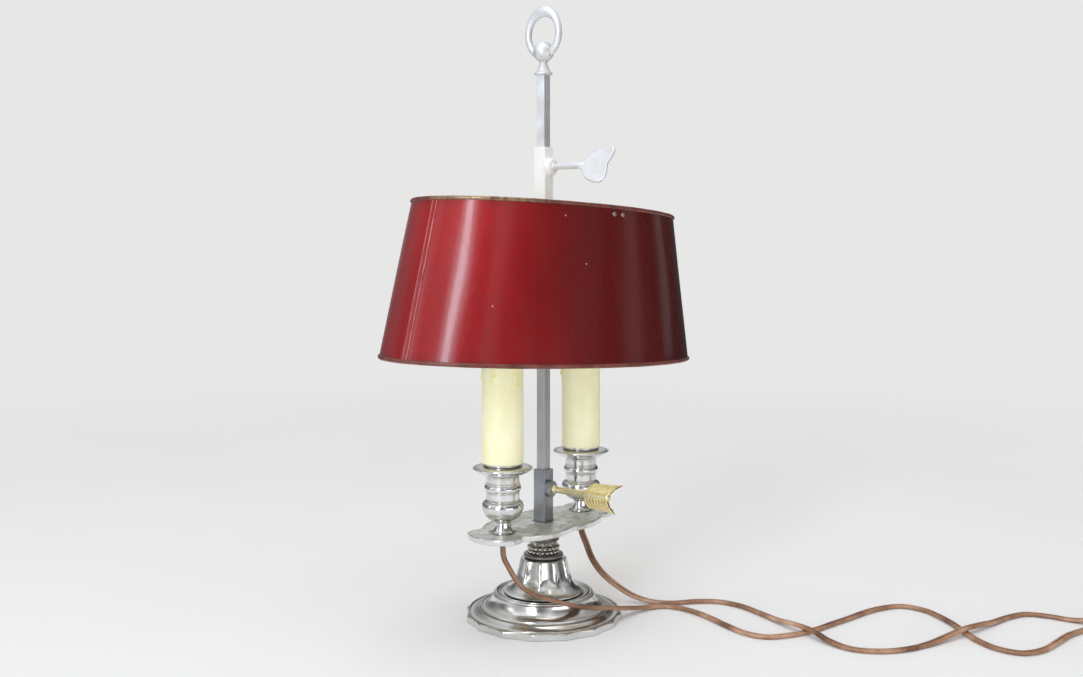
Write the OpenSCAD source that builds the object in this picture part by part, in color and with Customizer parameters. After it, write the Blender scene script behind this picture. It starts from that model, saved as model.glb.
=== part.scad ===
// Bouillotte table lamp. Two candle lights stand on a tray that slides on a square stem, and an
// oval painted metal shade slides on the same stem. Each is held where it is put by a clamp screw.
// Lengths are in millimetres. Z is up and the origin is under the middle of the base, on the table.
// X runs along the tray from light to light, and both clamp screws point along -Y.

/* [Base] */
// Radius of the base at the points of its scalloped rim
base_r = 60.5; // [58:0.5:64]
// Number of scallops round the rim
scallops = 16; // [12:1:20]
// Radius of the lower step
step_r = 48.6; // [47.5:0.1:50]
// Radius of the dished upper step
dish_r = 38.2; // [37.4:0.1:39.0]
// Number of flutes on the pedestal
flutes = 10; // [8:1:12]

/* [Stem] */
// Width across the flats of the square bar
bar_w = 7.6; // [7:0.1:8.4]
// Height of the top end of the bar
bar_top = 419; // [400:1:440]
// Half the width of the carrying ring to the middle of its wire
ring_w = 15; // [13:0.1:17]
// Half the height of the carrying ring
ring_h = 17.2; // [15:0.1:19]

/* [Tray] */
// Height of the tray's top face
tray_z = 74; // [74:1:90]
// Half the length of the tray
tray_half = 72.5; // [70:0.5:76]
// Half the width of the tray across its side lobes
tray_side = 31.7; // [30:0.1:34]
// Distance of each light from the stem
cup_x = 48; // [46:0.5:52]

/* [Candles] */
// Outer radius of the candle sleeves
candle_r = 15.5; // [14.8:0.1:16]
// Height of the top of the candle sleeves
candle_top = 212; // [206:1:220]
// Outer radius of the bulbs
bulb_r = 17.5; // [16:0.5:19]

/* [Shade] */
// Half the length of the shade at its lower rim
shade_low_x = 149.5; // [142:0.5:156]
// Half the width of the shade at its lower rim
shade_low_y = 92.3; // [88:0.1:98]
// Half the length of the shade at its upper rim
shade_high_x = 125.3; // [118:0.1:132]
// Half the width of the shade at its upper rim
shade_high_y = 81.5; // [77:0.1:87]
// Height of the lower rim
shade_z = 201.3; // [199:0.1:204]
// Height of the shade itself
shade_h = 112.8; // [108:0.1:116]
// How far the worn shade leans from upright, in degrees
shade_lean = 2.7; // [0:0.1:3]
// Direction of the level line about which it leans, in degrees from the X axis
lean_line = 79; // [39:1:90]

/* [Screws] */
// Height of the arrow screw that clamps the tray
arrow_z = 99.5; // [97:0.5:103]
// Height of the wing key that clamps the shade
key_z = 347.6; // [345:0.1:350]

/* [Cords] */
// Width of the flat twin leads
lead_w = 5.2; // [4.8:0.1:5.6]
// Thickness of the flat twin leads
lead_h = 3.0; // [2.6:0.1:3.2]
// Diameter of the round supply cord
cord_d = 5; // [4.6:0.1:5.2]

/* [Hidden] */

// Finishes
silver = [0.80, 0.79, 0.75];
dark_silver = [0.42, 0.40, 0.37];
gold = [0.86, 0.76, 0.48];
brass = [0.78, 0.62, 0.32];
ivory = [0.94, 0.90, 0.70];
paint = [0.50, 0.08, 0.09];
worn_bronze = [0.30, 0.19, 0.12];
flex = [0.56, 0.40, 0.26];
brown = [0.23, 0.15, 0.10];

fit = 0.05;                    // radial clearance of a sliding or turning fit
lift = 0.4;                    // height of the metal rim above the table, under it the felt
felt_h = 1.8;
dish_z = 20.6;                 // where the pedestal stands on the base
rod_r = 5;                     // round tail of the bar, and the threaded tubes of the lights
rod_bore = rod_r + fit;
pedestal_top = 46;
ring_top = 49.6;
collar_top = 61.5;
shoulder_z = 60;               // where the round tail of the bar turns square
boss_low = 62.3;
plate_t = 2;
skirt_h = 4.2;
sleeve_w = 11.1;
sleeve_in = bar_w + 2 * fit;
stud_r = 2;
screw_boss = sleeve_w / 2 + 4.6; // how far a screw boss stands from the stem's axis
cup_h = 42.5;
pan_z = tray_z + cup_h;        // underside of the drip pan
seat_z = pan_z + 2.2;          // where the candle sleeve stands
gland_low = tray_z - 12;
shade_steps = 72;              // facets round the oval shade
sheet_t = 0.8;
rim_wire = 1.5;                // radius of the rolled rims
view_turn = -51;               // the leads run off along this direction from the X axis

// ---- Curves -------------------------------------------------------------------------------

// Smooth bend from p to q, pulled towards c
function bend(p, c, q, n = 6) =
    [for (i = [0:n]) let (t = i / n) (1 - t) * (1 - t) * p + 2 * t * (1 - t) * c + t * t * q];

// Arc about c from angle a to angle b
function arc(c, r, a, b, n = 8) =
    [for (i = [0:n]) let (t = a + (b - a) * i / n) c + r * [cos(t), sin(t)]];

// Half-round bead on a profile, from its outer foot over to its inner foot
function bead(x, z, r) = arc([x - r, z], r, 0, 180, 6);

function unit(v) = v / norm(v);

// Point at t between b and c of a curve that passes through a, b, c and d
function between(a, b, c, d, t) =
    b + 0.5 * ((c - a) * t + (2 * a - 5 * b + 4 * c - d) * t * t + (3 * b - a - 3 * c + d) * t * t * t);

// A route made smooth, with k steps between each pair of its points
function smooth(p, k) = let (m = len(p) - 1) concat(
    [for (i = [0:m - 1]) for (j = [0:k - 1])
        between(p[max(i - 1, 0)], p[i], p[i + 1], p[min(i + 2, m)], j / k)],
    [p[m]]);

function heading(p, i) = unit(p[min(i + 1, len(p) - 1)] - p[max(i - 1, 0)]);

function run(p, i = 1) = i >= len(p) ? 0 : norm(p[i] - p[i - 1]) + run(p, i + 1);

// Rings of an oval cord, w wide and h thick, that lies flat on the table and hangs facing dir
function cord_rings(p, w, h, dir, n) = [for (i = [0:len(p) - 1])
    let (t = heading(p, i),
         up = [0, 0, 1 - abs(t.z)] + abs(t.z) * dir,
         side = unit(cross(t, up)),
         over = cross(side, t))
    [for (j = [0:n - 1]) p[i] + cos(j * 360 / n) * w / 2 * side - sin(j * 360 / n) * h / 2 * over]];

// ---- Shared shapes ------------------------------------------------------------------------

// A skin over rings of points. A closed one joins its last ring to its first.
module skin(rings, closed = false) {
    n = len(rings[0]);
    m = len(rings);
    last = closed ? m - 1 : m - 2;
    sides = [for (i = [0:last]) for (j = [0:n - 1]) for (half = [0, 1])
        let (a = i * n, b = ((i + 1) % m) * n, k = (j + 1) % n)
        half == 0 ? [a + j, b + j, b + k] : [a + j, b + k, a + k]];
    caps = closed ? [] : [for (j = [1:n - 2]) for (end = [0, 1])
        end == 0 ? [0, j, j + 1] : [(m - 1) * n, (m - 1) * n + j + 1, (m - 1) * n + j]];
    polyhedron([for (r = rings) for (p = r) p], concat(sides, caps));
}

module turned(profile) {
    rotate_extrude($fn = 96)
        polygon(profile);
}

module at_light(side) {
    translate([side * cup_x, 0, 0])
        children();
}

module hex_nut(across, h, bore) {
    difference() {
        cylinder(h = h, r = across / 2 / cos(30), $fn = 6);
        translate([0, 0, -1])
            cylinder(h = h + 2, r = bore, $fn = 48);
    }
}

// Turns a shape drawn along +X so that it points out along -Y
module outward(z) {
    translate([0, 0, z])
        rotate([0, 0, -90])
            children();
}

module rod(from, to, r1, r2) {
    translate([from, 0, 0])
        rotate([0, 90, 0])
            cylinder(h = to - from, r1 = r1, r2 = r2, $fn = 48);
}

// The worn shade leans, about a level line through the middle of its lower rim
module leaning() {
    translate([0, 0, shade_z])
        rotate(a = shade_lean, v = [cos(lean_line), sin(lean_line), 0])
            translate([0, 0, -shade_z])
                children();
}

module along_leads() {
    rotate([0, 0, view_turn])
        children();
}

// ---- Base ---------------------------------------------------------------------------------

rim_top_r = base_r - 3.3;
rim_in = base_r - 4.9;
scallop_r = 33;                // radius of each hollow in the rim

base_profile = concat(
    [[rim_in, lift], [base_r, lift], [rim_top_r, 5.2]],
    bead(rim_top_r, 5.3, 0.8),
    bend([rim_top_r - 2.2, 5.0], [step_r + 3.4, 5.0], [step_r + 0.9, 8.0], 5),
    [[step_r, 8.2], [step_r, 9.4]],
    bead(step_r, 9.5, 0.8),
    bend([step_r - 1.8, 9.7], [dish_r + 2.0, 10.6], [dish_r + 0.8, 18.4], 7),
    bead(dish_r, 19.1, 1.3),
    [[dish_r - 3.1, 19.3]],
    bead(dish_r - 3.7, 19.7, 0.6),
    bend([dish_r - 5.4, 19.5], [31.0, 19.6], [28.0, dish_z], 4),
    [[rod_bore, dish_z], [rod_bore, 18.8], [14, 18.8], [dish_r - 2.2, 17.6],
     [dish_r - 1.2, 12], [step_r - 4.1, 8.0], [step_r + 3.4, 3.7], [rim_in, 3.5]]);

module base_foot() {
    color(silver)
        difference() {
            turned(base_profile);
            for (i = [0:scallops - 1])
                rotate([0, 0, (i + 0.5) * 360 / scallops + 11.25])
                    translate([rim_top_r + scallop_r, 0, -1])
                        cylinder(h = 6, r = scallop_r, $fn = 96);
        }
}

module base_weight() {
    color(dark_silver)
        turned([[13, felt_h], [rim_in - 0.6, felt_h], [rim_in - 0.6, 3.2], [step_r + 2.6, 3.4],
            [step_r - 4.8, 7.4], [dish_r - 1.9, 11.4], [dish_r - 2.9, 17.0], [13, 17.0]]);
}

module base_felt() {
    color("darkolivegreen")
        cylinder(h = felt_h, r = rim_in - 0.6, $fn = 96);
}

module base_washer() {
    color(dark_silver)
        turned([[rod_bore, 16.8], [11, 16.8], [11, 18.8], [rod_bore, 18.8]]);
}

module base_nut() {
    color(brass)
        translate([0, 0, 9.5])
            hex_nut(16, 7.3, rod_bore);
}

flute_low = 26.5;              // where the flutes end above the flared foot
flute_axis = 37.35;            // distance of a flute's cutter from the axis there
flute_tilt = 21.4;             // lean of the cutter along the bell
flute_r = 16.9;
flute_taper = 0.159;           // loss of cutter radius for each millimetre up

pedestal_profile = concat(
    [[rod_bore, dish_z], [27.4, dish_z], [27.4, 21.5]],
    bend([26.9, 22.0], [24.4, 22.4], [23.8, 26.0], 6),
    [[23.3, flute_low]],
    bend([23.2, flute_low + 0.1], [20.2, 36], [18.6, 44.4], 8),
    [[17.6, 45.4], [15.2, pedestal_top], [rod_bore, pedestal_top]]);

module fluted_pedestal() {
    color(silver)
        difference() {
            turned(pedestal_profile);
            for (i = [0:flutes - 1])
                rotate([0, 0, (i + 0.5) * 360 / flutes - 5])
                    intersection() {
                        translate([flute_axis, 0, flute_low])
                            rotate([0, -flute_tilt, 0])
                                translate([0, 0, -8])
                                    cylinder(h = 40, r1 = flute_r + 8 * flute_taper,
                                        r2 = flute_r - 32 * flute_taper, $fn = 96);
                        translate([8, -20, flute_low])
                            cube([30, 40, 24]);
                    }
        }
}

module neck_ring() {
    color(dark_silver)
        turned(concat(
            [[rod_bore, pedestal_top], [13.6, pedestal_top], [14.2, 46.5]],
            arc([13.9, 48.0], 1.5, -70, 80, 8),
            [[12.6, ring_top], [rod_bore, ring_top]]));
}

collar_beads = 20;
collar_leaves = 10;

// Two rows of beads under a cup of broad leaves
module leaf_collar() {
    color(silver)
        difference() {
            union() {
                turned(concat(
                    [[rod_bore, ring_top], [11.0, ring_top], [11.2, 52.0], [10.4, 52.4],
                     [11.4, 52.8], [11.5, 55.3], [10.6, 55.7]],
                    bend([10.4, 56.0], [9.6, 57.6], [10.6, 59.8], 4),
                    [[11.4, 60.5], [11.4, 61.2], [11.1, collar_top], [9.6, collar_top],
                     [9.6, shoulder_z], [rod_bore, shoulder_z]]));
                for (row = [[11.1, 50.95, 0], [11.4, 54.0, 0.5]])
                    for (i = [0:collar_beads - 1])
                        rotate([0, 0, (i + row[2]) * 360 / collar_beads])
                            translate([row[0], 0, row[1]])
                                sphere(r = 1.3, $fn = 20);
                for (i = [0:collar_leaves - 1])
                    rotate([0, 0, i * 360 / collar_leaves])
                        translate([9.6, 0, 58.1])
                            rotate([0, 12, 0])
                                cylinder(h = 4.4, r1 = 1.3, r2 = 2.7, center = true, $fn = 24);
            }
            translate([0, 0, shoulder_z])
                cylinder(h = 4, r = 9.6, $fn = 96);
        }
}

module neck_cap() {
    color(silver)
        difference() {
            turned([[0, shoulder_z], [9.5, shoulder_z], [9.5, collar_top + 0.2],
                [9.2, collar_top + 0.5], [0, collar_top + 0.5]]);
            translate([0, 0, shoulder_z])
                cube([bar_w + 2 * fit, bar_w + 2 * fit, 8], center = true);
        }
}

// ---- Stem ---------------------------------------------------------------------------------

// Section of the square bar with its edges just broken
module bar_section(w, chamfer) {
    h = w / 2;
    c = chamfer;
    polygon([[h - c, -h], [h, c - h], [h, h - c], [h - c, h],
        [c - h, h], [-h, h - c], [-h, c - h], [c - h, -h]]);
}

module stem_bar() {
    color(silver)
        union() {
            translate([0, 0, 7])
                cylinder(h = shoulder_z - 7, r = rod_r, $fn = 48);
            translate([0, 0, shoulder_z])
                linear_extrude(bar_top - shoulder_z)
                    bar_section(bar_w, 0.35);
        }
}

cone_top = bar_top + 8.8;

module finial_cone() {
    color(silver)
        turned(concat(
            [[0, bar_top], [6.4, bar_top], [7.1, bar_top + 0.6], [7.1, bar_top + 1.4]],
            bend([6.4, bar_top + 2.1], [4.4, bar_top + 4.2], [3.1, cone_top], 6),
            [[0, cone_top]]));
}

ball_z = bar_top + 18;
ring_z = ball_z + 14;

// The ring's wire is stout at the top and thinner where it enters the ball
function ring_wire(a) = 2.6 + 1.65 * pow(max(0, sin(a)), 3);

// Middle of the ring's wire at angle a, and the direction that faces outward there
function ring_at(a) = [0, ring_w * cos(a), ring_z + ring_h * sin(a)];
function ring_out(a) = unit([0, ring_h * cos(a), ring_w * sin(a)]);

module ring_finial() {
    color(silver)
        union() {
            turned(concat([[0, cone_top], [3.0, cone_top]],
                bend([3.0, cone_top + 0.4], [2.8, cone_top + 1.2], [4.2, cone_top + 2.4], 4),
                [[0, cone_top + 4]]));
            translate([0, 0, ball_z])
                sphere(r = 8.1, $fn = 64);
            skin([for (i = [0:47]) let (a = i * 7.5)
                [for (j = [0:11]) ring_at(a)
                    + ring_wire(a) * (cos(j * 30) * ring_out(a) - sin(j * 30) * [1, 0, 0])]],
                closed = true);
        }
}

// ---- Tray ---------------------------------------------------------------------------------

side_r = 50;                   // radius of the long side lobes
side_x = 17;                   // where they are widest, so that they meet in a notch at the middle
end_r = 30;                    // radius of the end of the tray
corner_r = 16;                 // radius of the corner lobes that make the small outer cusps
corner_x = tray_half - 14.5;
corner_y = 6;

// Outline of the tray, drawn in by inset: two long side lobes, each notched at its middle, and a
// squared lobe at either end that meets them in a cusp
module tray_outline(inset = 0) {
    for (sx = [-1, 1]) {
        intersection_for(sy = [-1, 1])
            translate([sx * side_x, sy * (tray_side - side_r)])
                circle(r = side_r - inset, $fn = 180);
        intersection() {
            translate([sx * (tray_half - end_r), 0])
                circle(r = end_r - inset, $fn = 120);
            union() {
                for (sy = [-1, 1])
                    translate([sx * corner_x, sy * corner_y])
                        circle(r = corner_r - inset, $fn = 90);
            }
        }
    }
}

module tray_plate() {
    color(silver)
        difference() {
            translate([0, 0, tray_z - skirt_h])
                linear_extrude(skirt_h)
                    tray_outline();
            translate([0, 0, tray_z - skirt_h - 1])
                linear_extrude(skirt_h - plate_t + 1)
                    tray_outline(1.6);
            translate([0, 0, tray_z])
                cube([sleeve_in, sleeve_in, 12], center = true);
            for (side = [-1, 1])
                at_light(side)
                    translate([0, 0, tray_z - 6])
                        cylinder(h = 8, r = rod_bore, $fn = 48);
        }
}

module tray_boss() {
    color(silver)
        difference() {
            turned([[0, boss_low], [9.4, boss_low], [10, boss_low + 0.6], [10, tray_z - 4.4],
                [11.6, tray_z - plate_t - 0.8], [11.6, tray_z - plate_t], [0, tray_z - plate_t]]);
            translate([0, 0, boss_low - 1])
                linear_extrude(16)
                    square(sleeve_in, center = true);
        }
}

// A square sleeve on the bar from z1 to z2, with a round boss and a cross bore for a clamp screw
module clamp_sleeve(z1, z2, screw_z, boss_r) {
    face = sleeve_w / 2;
    difference() {
        union() {
            translate([0, 0, z1])
                linear_extrude(z2 - z1)
                    bar_section(sleeve_w, 0.5);
            outward(screw_z)
                union() {
                    rod(face - 1.6, face, face - 1, boss_r);
                    rod(face, screw_boss - 1.4, boss_r, boss_r - 0.2);
                    rod(screw_boss - 1.4, screw_boss, boss_r - 0.2, boss_r - 1.6);
                }
        }
        translate([0, 0, z1 - 1])
            linear_extrude(z2 - z1 + 2)
                square(sleeve_in, center = true);
        outward(screw_z)
            rod(1, screw_boss + 1, stud_r + fit, stud_r + fit);
    }
}

module tray_sleeve() {
    color(silver)
        clamp_sleeve(tray_z, tray_z + 40, arrow_z, 6.5);
}

// ---- Lights -------------------------------------------------------------------------------

// Heights on the cup and the drip pan are measured from the top of the tray and of the cup
cup_profile = [for (p = concat(
    [[rod_bore, 0], [8.5, 0], [8.5, 0.6]],
    bend([8.2, 1.0], [6.9, 1.6], [6.9, 5.0], 5),
    [[6.9, 8.6]],
    bead(7.9, 9.2, 0.5),
    bend([8.6, 9.6], [12.6, 10.2], [14.9, 13.6], 6),
    [[14.3, 13.8], [14.4, 14.4]],
    bend([15.0, 14.6], [16.5, 19.4], [14.9, 23.6], 8),
    [[14.7, 24.2], [14.1, 24.3]],
    bend([13.8, 24.4], [13.4, 25.2], [11.8, 25.7], 4),
    [[11.8, 30.2], [12.3, 30.4], [12.3, 31.0]],
    bend([12.7, 31.3], [14.5, 33.4], [12.6, 35.6], 6),
    [[12.2, 36.2], [12.2, 36.9], [11.8, 37.1], [11.8, 41.4], [12.6, cup_h], [10.2, cup_h],
     [10.2, 24], [13.0, 20], [12.6, 15.4], [6.4, 11], [rod_bore, 10.6]]))
    [p.x, p.y + tray_z]];

module cup() {
    color(silver)
        turned(cup_profile);
}

// Drip pan, dished to a rounded lip, with a recess in which the candle sleeve stands
pan_profile = [for (p = concat(
    [[rod_bore, 0], [12.6, 0]],
    bend([13.2, 0.2], [19.4, 1.8], [21.9, 4.4], 6),
    arc([21.6, 5.25], 0.85, -60, 150, 8),
    bend([20.6, 5.2], [18.4, 3.6], [16.4, 3.6], 4),
    [[16.0, 3.4], [16.0, 2.2], [9.0, 2.2], [8.6, 1.8], [rod_bore, 1.8]])) [p.x, p.y + pan_z]];

module drip_pan() {
    color(silver)
        turned(pan_profile);
}

candle_in = candle_r - 1.7;
// Each wax run as its direction round the candle, how far it reaches down and its radius
wax_runs = [[196, 5, 1.2], [213, 10, 1.4], [236, 4, 1.1], [254, 7, 1.3], [300, 5, 1.2],
    [20, 8, 1.3], [75, 5, 1.2], [130, 9, 1.4]];

module candle() {
    color(ivory)
        union() {
            turned(concat(
                [[candle_in, seat_z], [candle_r, seat_z], [candle_r - 0.1, candle_top - 2.4]],
                bend([candle_r - 0.1, candle_top - 2], [candle_r + 0.2, candle_top],
                    [candle_r - 1, candle_top], 4),
                [[candle_in + 0.2, candle_top - 0.5]]));
            for (w = wax_runs)
                rotate([0, 0, w[0]])
                    translate([candle_r - 0.8, 0, candle_top - 1.8 - w[1]])
                        union() {
                            sphere(r = w[2], $fn = 24);
                            cylinder(h = w[1], r1 = w[2], r2 = w[2] * 0.7, $fn = 24);
                        }
        }
}

module nipple() {
    color(brass)
        translate([0, 0, gland_low + 2.5])
            difference() {
                cylinder(h = seat_z + 9 - gland_low, r = rod_r, $fn = 48);
                translate([0, 0, -1])
                    cylinder(h = seat_z + 11 - gland_low, r = 3.4, $fn = 48);
            }
}

module locknut() {
    color(brass)
        translate([0, 0, tray_z - plate_t - 3.4])
            hex_nut(14, 3.4, rod_bore);
}

// Bush on the end of the threaded tube that the flat lead comes out of
module gland() {
    color(brass)
        difference() {
            turned([[0, gland_low], [5.4, gland_low], [6.2, gland_low + 0.8],
                [6.2, tray_z - plate_t - 3.5], [0, tray_z - plate_t - 3.5]]);
            translate([0, 0, gland_low + 2.5])
                cylinder(h = 8, r = rod_bore, $fn = 48);
            translate([0, 0, gland_low - 1])
                cylinder(h = 5, r = 3.3, $fn = 48);
        }
}

holder_z = seat_z + 6;

module lampholder() {
    color("whitesmoke")
        turned([[rod_bore, holder_z], [9.5, holder_z], [12.4, holder_z + 5],
            [12.4, candle_top - 8], [11.6, candle_top - 5.5], [9.2, candle_top - 5.5],
            [9.2, candle_top - 30], [rod_bore, candle_top - 32]]);
}

module socket_shell() {
    color(brass)
        turned([[3, candle_top - 30], [9.0, candle_top - 30], [9.0, candle_top - 6.5],
            [7.6, candle_top - 6.5], [7.6, candle_top - 28.8], [3, candle_top - 28.8]]);
}

module bulb_cap() {
    color(brass)
        turned(concat(
            [[0, candle_top - 28.6], [2.2, candle_top - 28.4], [4.4, candle_top - 26.6]],
            [for (i = [0:5]) for (e = [0, 1]) [6.5 + 0.6 * e, candle_top - 25.6 + 3 * i + 1.5 * e]],
            [[7.2, candle_top - 7], [7.2, candle_top - 3.4], [0, candle_top - 3.4]]));
}

// Outer wall of a candle bulb from its neck to its tip, drawn in by t
function bulb_wall(t) = concat(
    bend([6.8 - t, 0], [8.6 - t, 12], [14.2 - t, 22], 6),
    bend([14.4 - t, 22.4], [bulb_r + 1.2 - t, 30], [bulb_r - 0.5 - t, 38], 6),
    bend([bulb_r - 0.7 - t, 38.8], [13.6 - t, 58], [4.6 - t, 74], 8),
    [[3.0 - t, 76.6], [1.2 - t / 2, 78.6 - t], [0, 79 - t]]);

module bulb() {
    wall = bulb_wall(0);
    inner = bulb_wall(0.9);
    color("snow")
        translate([0, 0, candle_top - 3.4])
            turned(concat(wall, [for (i = [len(inner) - 1:-1:0]) [inner[i].x, max(1, inner[i].y)]],
                [[0, 1], [0, 0]]));
}

// ---- Clamp screws -------------------------------------------------------------------------

stud_tip = bar_w / 2 + 0.05;   // the screw all but touches the bar
shank = screw_boss + 0.3;
arrow_turn = 27;               // how far the arrow's feathers are turned from upright
key_turn = 32;
arrow_end = 63;
vane_t = 1.5;

// One feather of the arrow, drawn out from the shaft: barbed edge, swept tip and hollow tail
vane = concat(
    [[39, 1.6], [41.5, 5.2], [45, 9.4]],
    bend([47, 10.0], [58, 10.0], [72, 11.4], 5),
    bend([70, 9.4], [63.5, 7.4], [61.6, 1.6], 4));

module arrow_screw() {
    color(gold)
        outward(arrow_z)
            rotate([-arrow_turn, 0, 0])
                union() {
                    rod(shank, shank + 1.2, 3.1, 3.1);
                    rod(shank + 1.2, 40, 2.35, 2.7);
                    rod(40, arrow_end - 1.2, 2.7, 2.85);
                    rod(arrow_end - 1.2, arrow_end, 2.85, 2.2);
                    for (up = [0, 1])
                        mirror([0, 0, up])
                            difference() {
                                rotate([90, 0, 0])
                                    linear_extrude(vane_t, center = true)
                                        polygon(vane);
                                for (i = [0:5])
                                    for (face = [-1, 1])
                                        translate([43.5 + 4 * i, face * vane_t / 2, 2.6])
                                            rotate([0, 28, 0])
                                                translate([-0.3, -0.3, 0])
                                                    cube([0.6, 0.6, 11]);
                            }
                }
}

module stud() {
    color(brass)
        rod(stud_tip, shank, stud_r, stud_r);
}

module arrow_stud() {
    outward(arrow_z)
        stud();
}

// Half the outline of the wing key, from the shank out over a lobe to the dip in its far edge
key_lobe = concat(
    [[33.5, 2.4]],
    bend([35.0, 3.0], [39.4, 12.6], [49.0, 14.5], 8),
    bend([50.5, 15.0], [58.6, 18.4], [61.8, 15.4], 5),
    bend([63.6, 13.0], [63.2, 7.0], [61.2, 0], 6));

module key_screw() {
    color(silver)
        outward(key_z)
            rotate([-key_turn, 0, 0])
                union() {
                    rod(shank, shank + 1.4, 3.3, 3.3);
                    rod(shank + 1.4, 34, 2.5, 2.4);
                    rod(34, 40, 2.4, 1.2);
                    rotate([90, 0, 0])
                        linear_extrude(2.2, center = true)
                            union() {
                                polygon(concat([[33.5, 0]], key_lobe));
                                mirror([0, 1])
                                    polygon(concat([[33.5, 0]], key_lobe));
                            }
                }
}

module key_stud() {
    outward(key_z)
        stud();
}

// ---- Shade --------------------------------------------------------------------------------

// Point on the oval shade at angle a round it and height h above its lower rim, drawn in by t
function oval(a, h, t = 0) = let (u = h / shade_h)
    [(shade_low_x + (shade_high_x - shade_low_x) * u - t) * cos(a),
     (shade_low_y + (shade_high_y - shade_low_y) * u - t) * sin(a), shade_z + h];

// Direction that the oval faces at angle a and height h
function faces(a, h) = let (p = oval(a, h), u = h / shade_h)
    unit([p.x / pow(shade_low_x + (shade_high_x - shade_low_x) * u, 2),
        p.y / pow(shade_low_y + (shade_high_y - shade_low_y) * u, 2), 0]);

module shade_shell() {
    low = rim_wire;
    high = shade_h - rim_wire;
    color(paint)
        leaning()
            skin([for (i = [0:shade_steps - 1]) let (a = i * 360 / shade_steps)
                [oval(a, low), oval(a, low, sheet_t), oval(a, high, sheet_t), oval(a, high)]],
                closed = true);
}

// Rolled rim round the sheet at height h
module rolled_rim(h) {
    color(worn_bronze)
        leaning()
            skin([for (i = [0:shade_steps - 1])
                let (a = i * 360 / shade_steps, c = oval(a, h, sheet_t / 2), out = faces(a, h))
                [for (j = [0:7]) c + rim_wire * (cos(-j * 45) * out + sin(-j * 45) * [0, 0, 1])]],
                closed = true);
}

module shade_top_wire() {
    rolled_rim(shade_h);
}

module shade_bottom_wire() {
    rolled_rim(0);
}

// Flat lock seams where the two halves of the sheet are joined, at either end of the oval
module shade_seams() {
    color(paint)
        leaning()
            for (turn = [0, 180])
                rotate([0, 0, turn])
                    translate([shade_low_x, 0, shade_z])
                        rotate([0, -atan((shade_low_x - shade_high_x) / shade_h), 0])
                            translate([0, -2.6, rim_wire + 0.4])
                                cube([0.9, 5.2, shade_h - 2 * rim_wire - 0.2]);
}

spider_h = shade_h - 11.5;     // height of the cross-bar's top in the shade
spider_a = -99;                // angle on the oval where the cross-bar meets the wall
spider_hub = sin(shade_lean) * spider_h * [-sin(lean_line), cos(lean_line), 0];
tab_h = 11;
rivet_h = shade_h - 5;
rivet_gap = 9;

// Moves a shape drawn with Z outward and Y upward to the wall at angle a and height h, drawn in by t
module on_wall(a, h, t) {
    out = faces(a, h);
    translate(oval(a, h, t))
        rotate([0, 0, atan2(out.y, out.x)])
            rotate([0, -atan((shade_low_y - shade_high_y) / shade_h), 0])
                rotate([90, 0, 90])
                    children();
}

module at_rivets() {
    for (turn = [0, 180])
        rotate([0, 0, turn])
            on_wall(spider_a, rivet_h, 0)
                for (x = [-rivet_gap / 2, rivet_gap / 2])
                    translate([x, 0, 0])
                        children();
}

// Flat bar across the oval, with a hub at its middle and an upturned tab at either end
module shade_spider() {
    end = oval(spider_a, spider_h, sheet_t + 1.2);
    reach = norm([end.x, end.y]);
    color(brass)
        difference() {
            leaning()
                union() {
                    translate([0, 0, shade_z + spider_h - 1.6])
                        rotate([0, 0, atan2(end.y, end.x)])
                            translate([-reach, -6, 0])
                                cube([2 * reach, 12, 1.6]);
                    translate([0, 0, shade_z + spider_h - 1.6] + spider_hub)
                        cylinder(h = 1.6, r = 14, $fn = 64);
                    for (turn = [0, 180])
                        rotate([0, 0, turn])
                            on_wall(spider_a, spider_h - 1.6, sheet_t + 0.3)
                                translate([-8, 0, -1.4])
                                    cube([16, tab_h, 1.4]);
                }
            translate([0, 0, shade_z + spider_h])
                cube([sleeve_w + 2 * fit, sleeve_w + 2 * fit, 16], center = true);
            leaning()
                at_rivets()
                    cylinder(h = 12, r = 1, center = true, $fn = 24);
        }
}

// Collar on the sleeve, dressed off at the top to the slope of the leaning cross-bar
module spider_collar() {
    color(brass)
        difference() {
            translate([0, 0, shade_z + spider_h - 7])
                cylinder(h = 7, r = 10.5, $fn = 64);
            translate([0, 0, shade_z + spider_h - 8])
                linear_extrude(9)
                    square(sleeve_w + 2 * fit, center = true);
            leaning()
                translate([-30, -30, shade_z + spider_h - 1.6])
                    cube([60, 60, 10]);
        }
}

module shade_sleeve() {
    color(silver)
        clamp_sleeve(shade_z + spider_h - 7, shade_z + 161.7, key_z, 7);
}

// Two rivets through each tab of the cross-bar, with low round heads outside
module spider_rivets() {
    color(silver)
        leaning()
            at_rivets()
                translate([0, 0, -0.1])
                    union() {
                        turned([[0, 0], [1.9, 0], [1.6, 0.7], [0.8, 1.1], [0, 1.2]]);
                        translate([0, 0, -2.7])
                            cylinder(h = 2.8, r = 0.98, $fn = 24);
                    }
}

// ---- Leads, switch, supply cord and plug -----------------------------------------------------
// These lie along the direction in which the leads run off. Routes are given there, as
// [along, across, height], and each starts where its lead leaves the tray.

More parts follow.
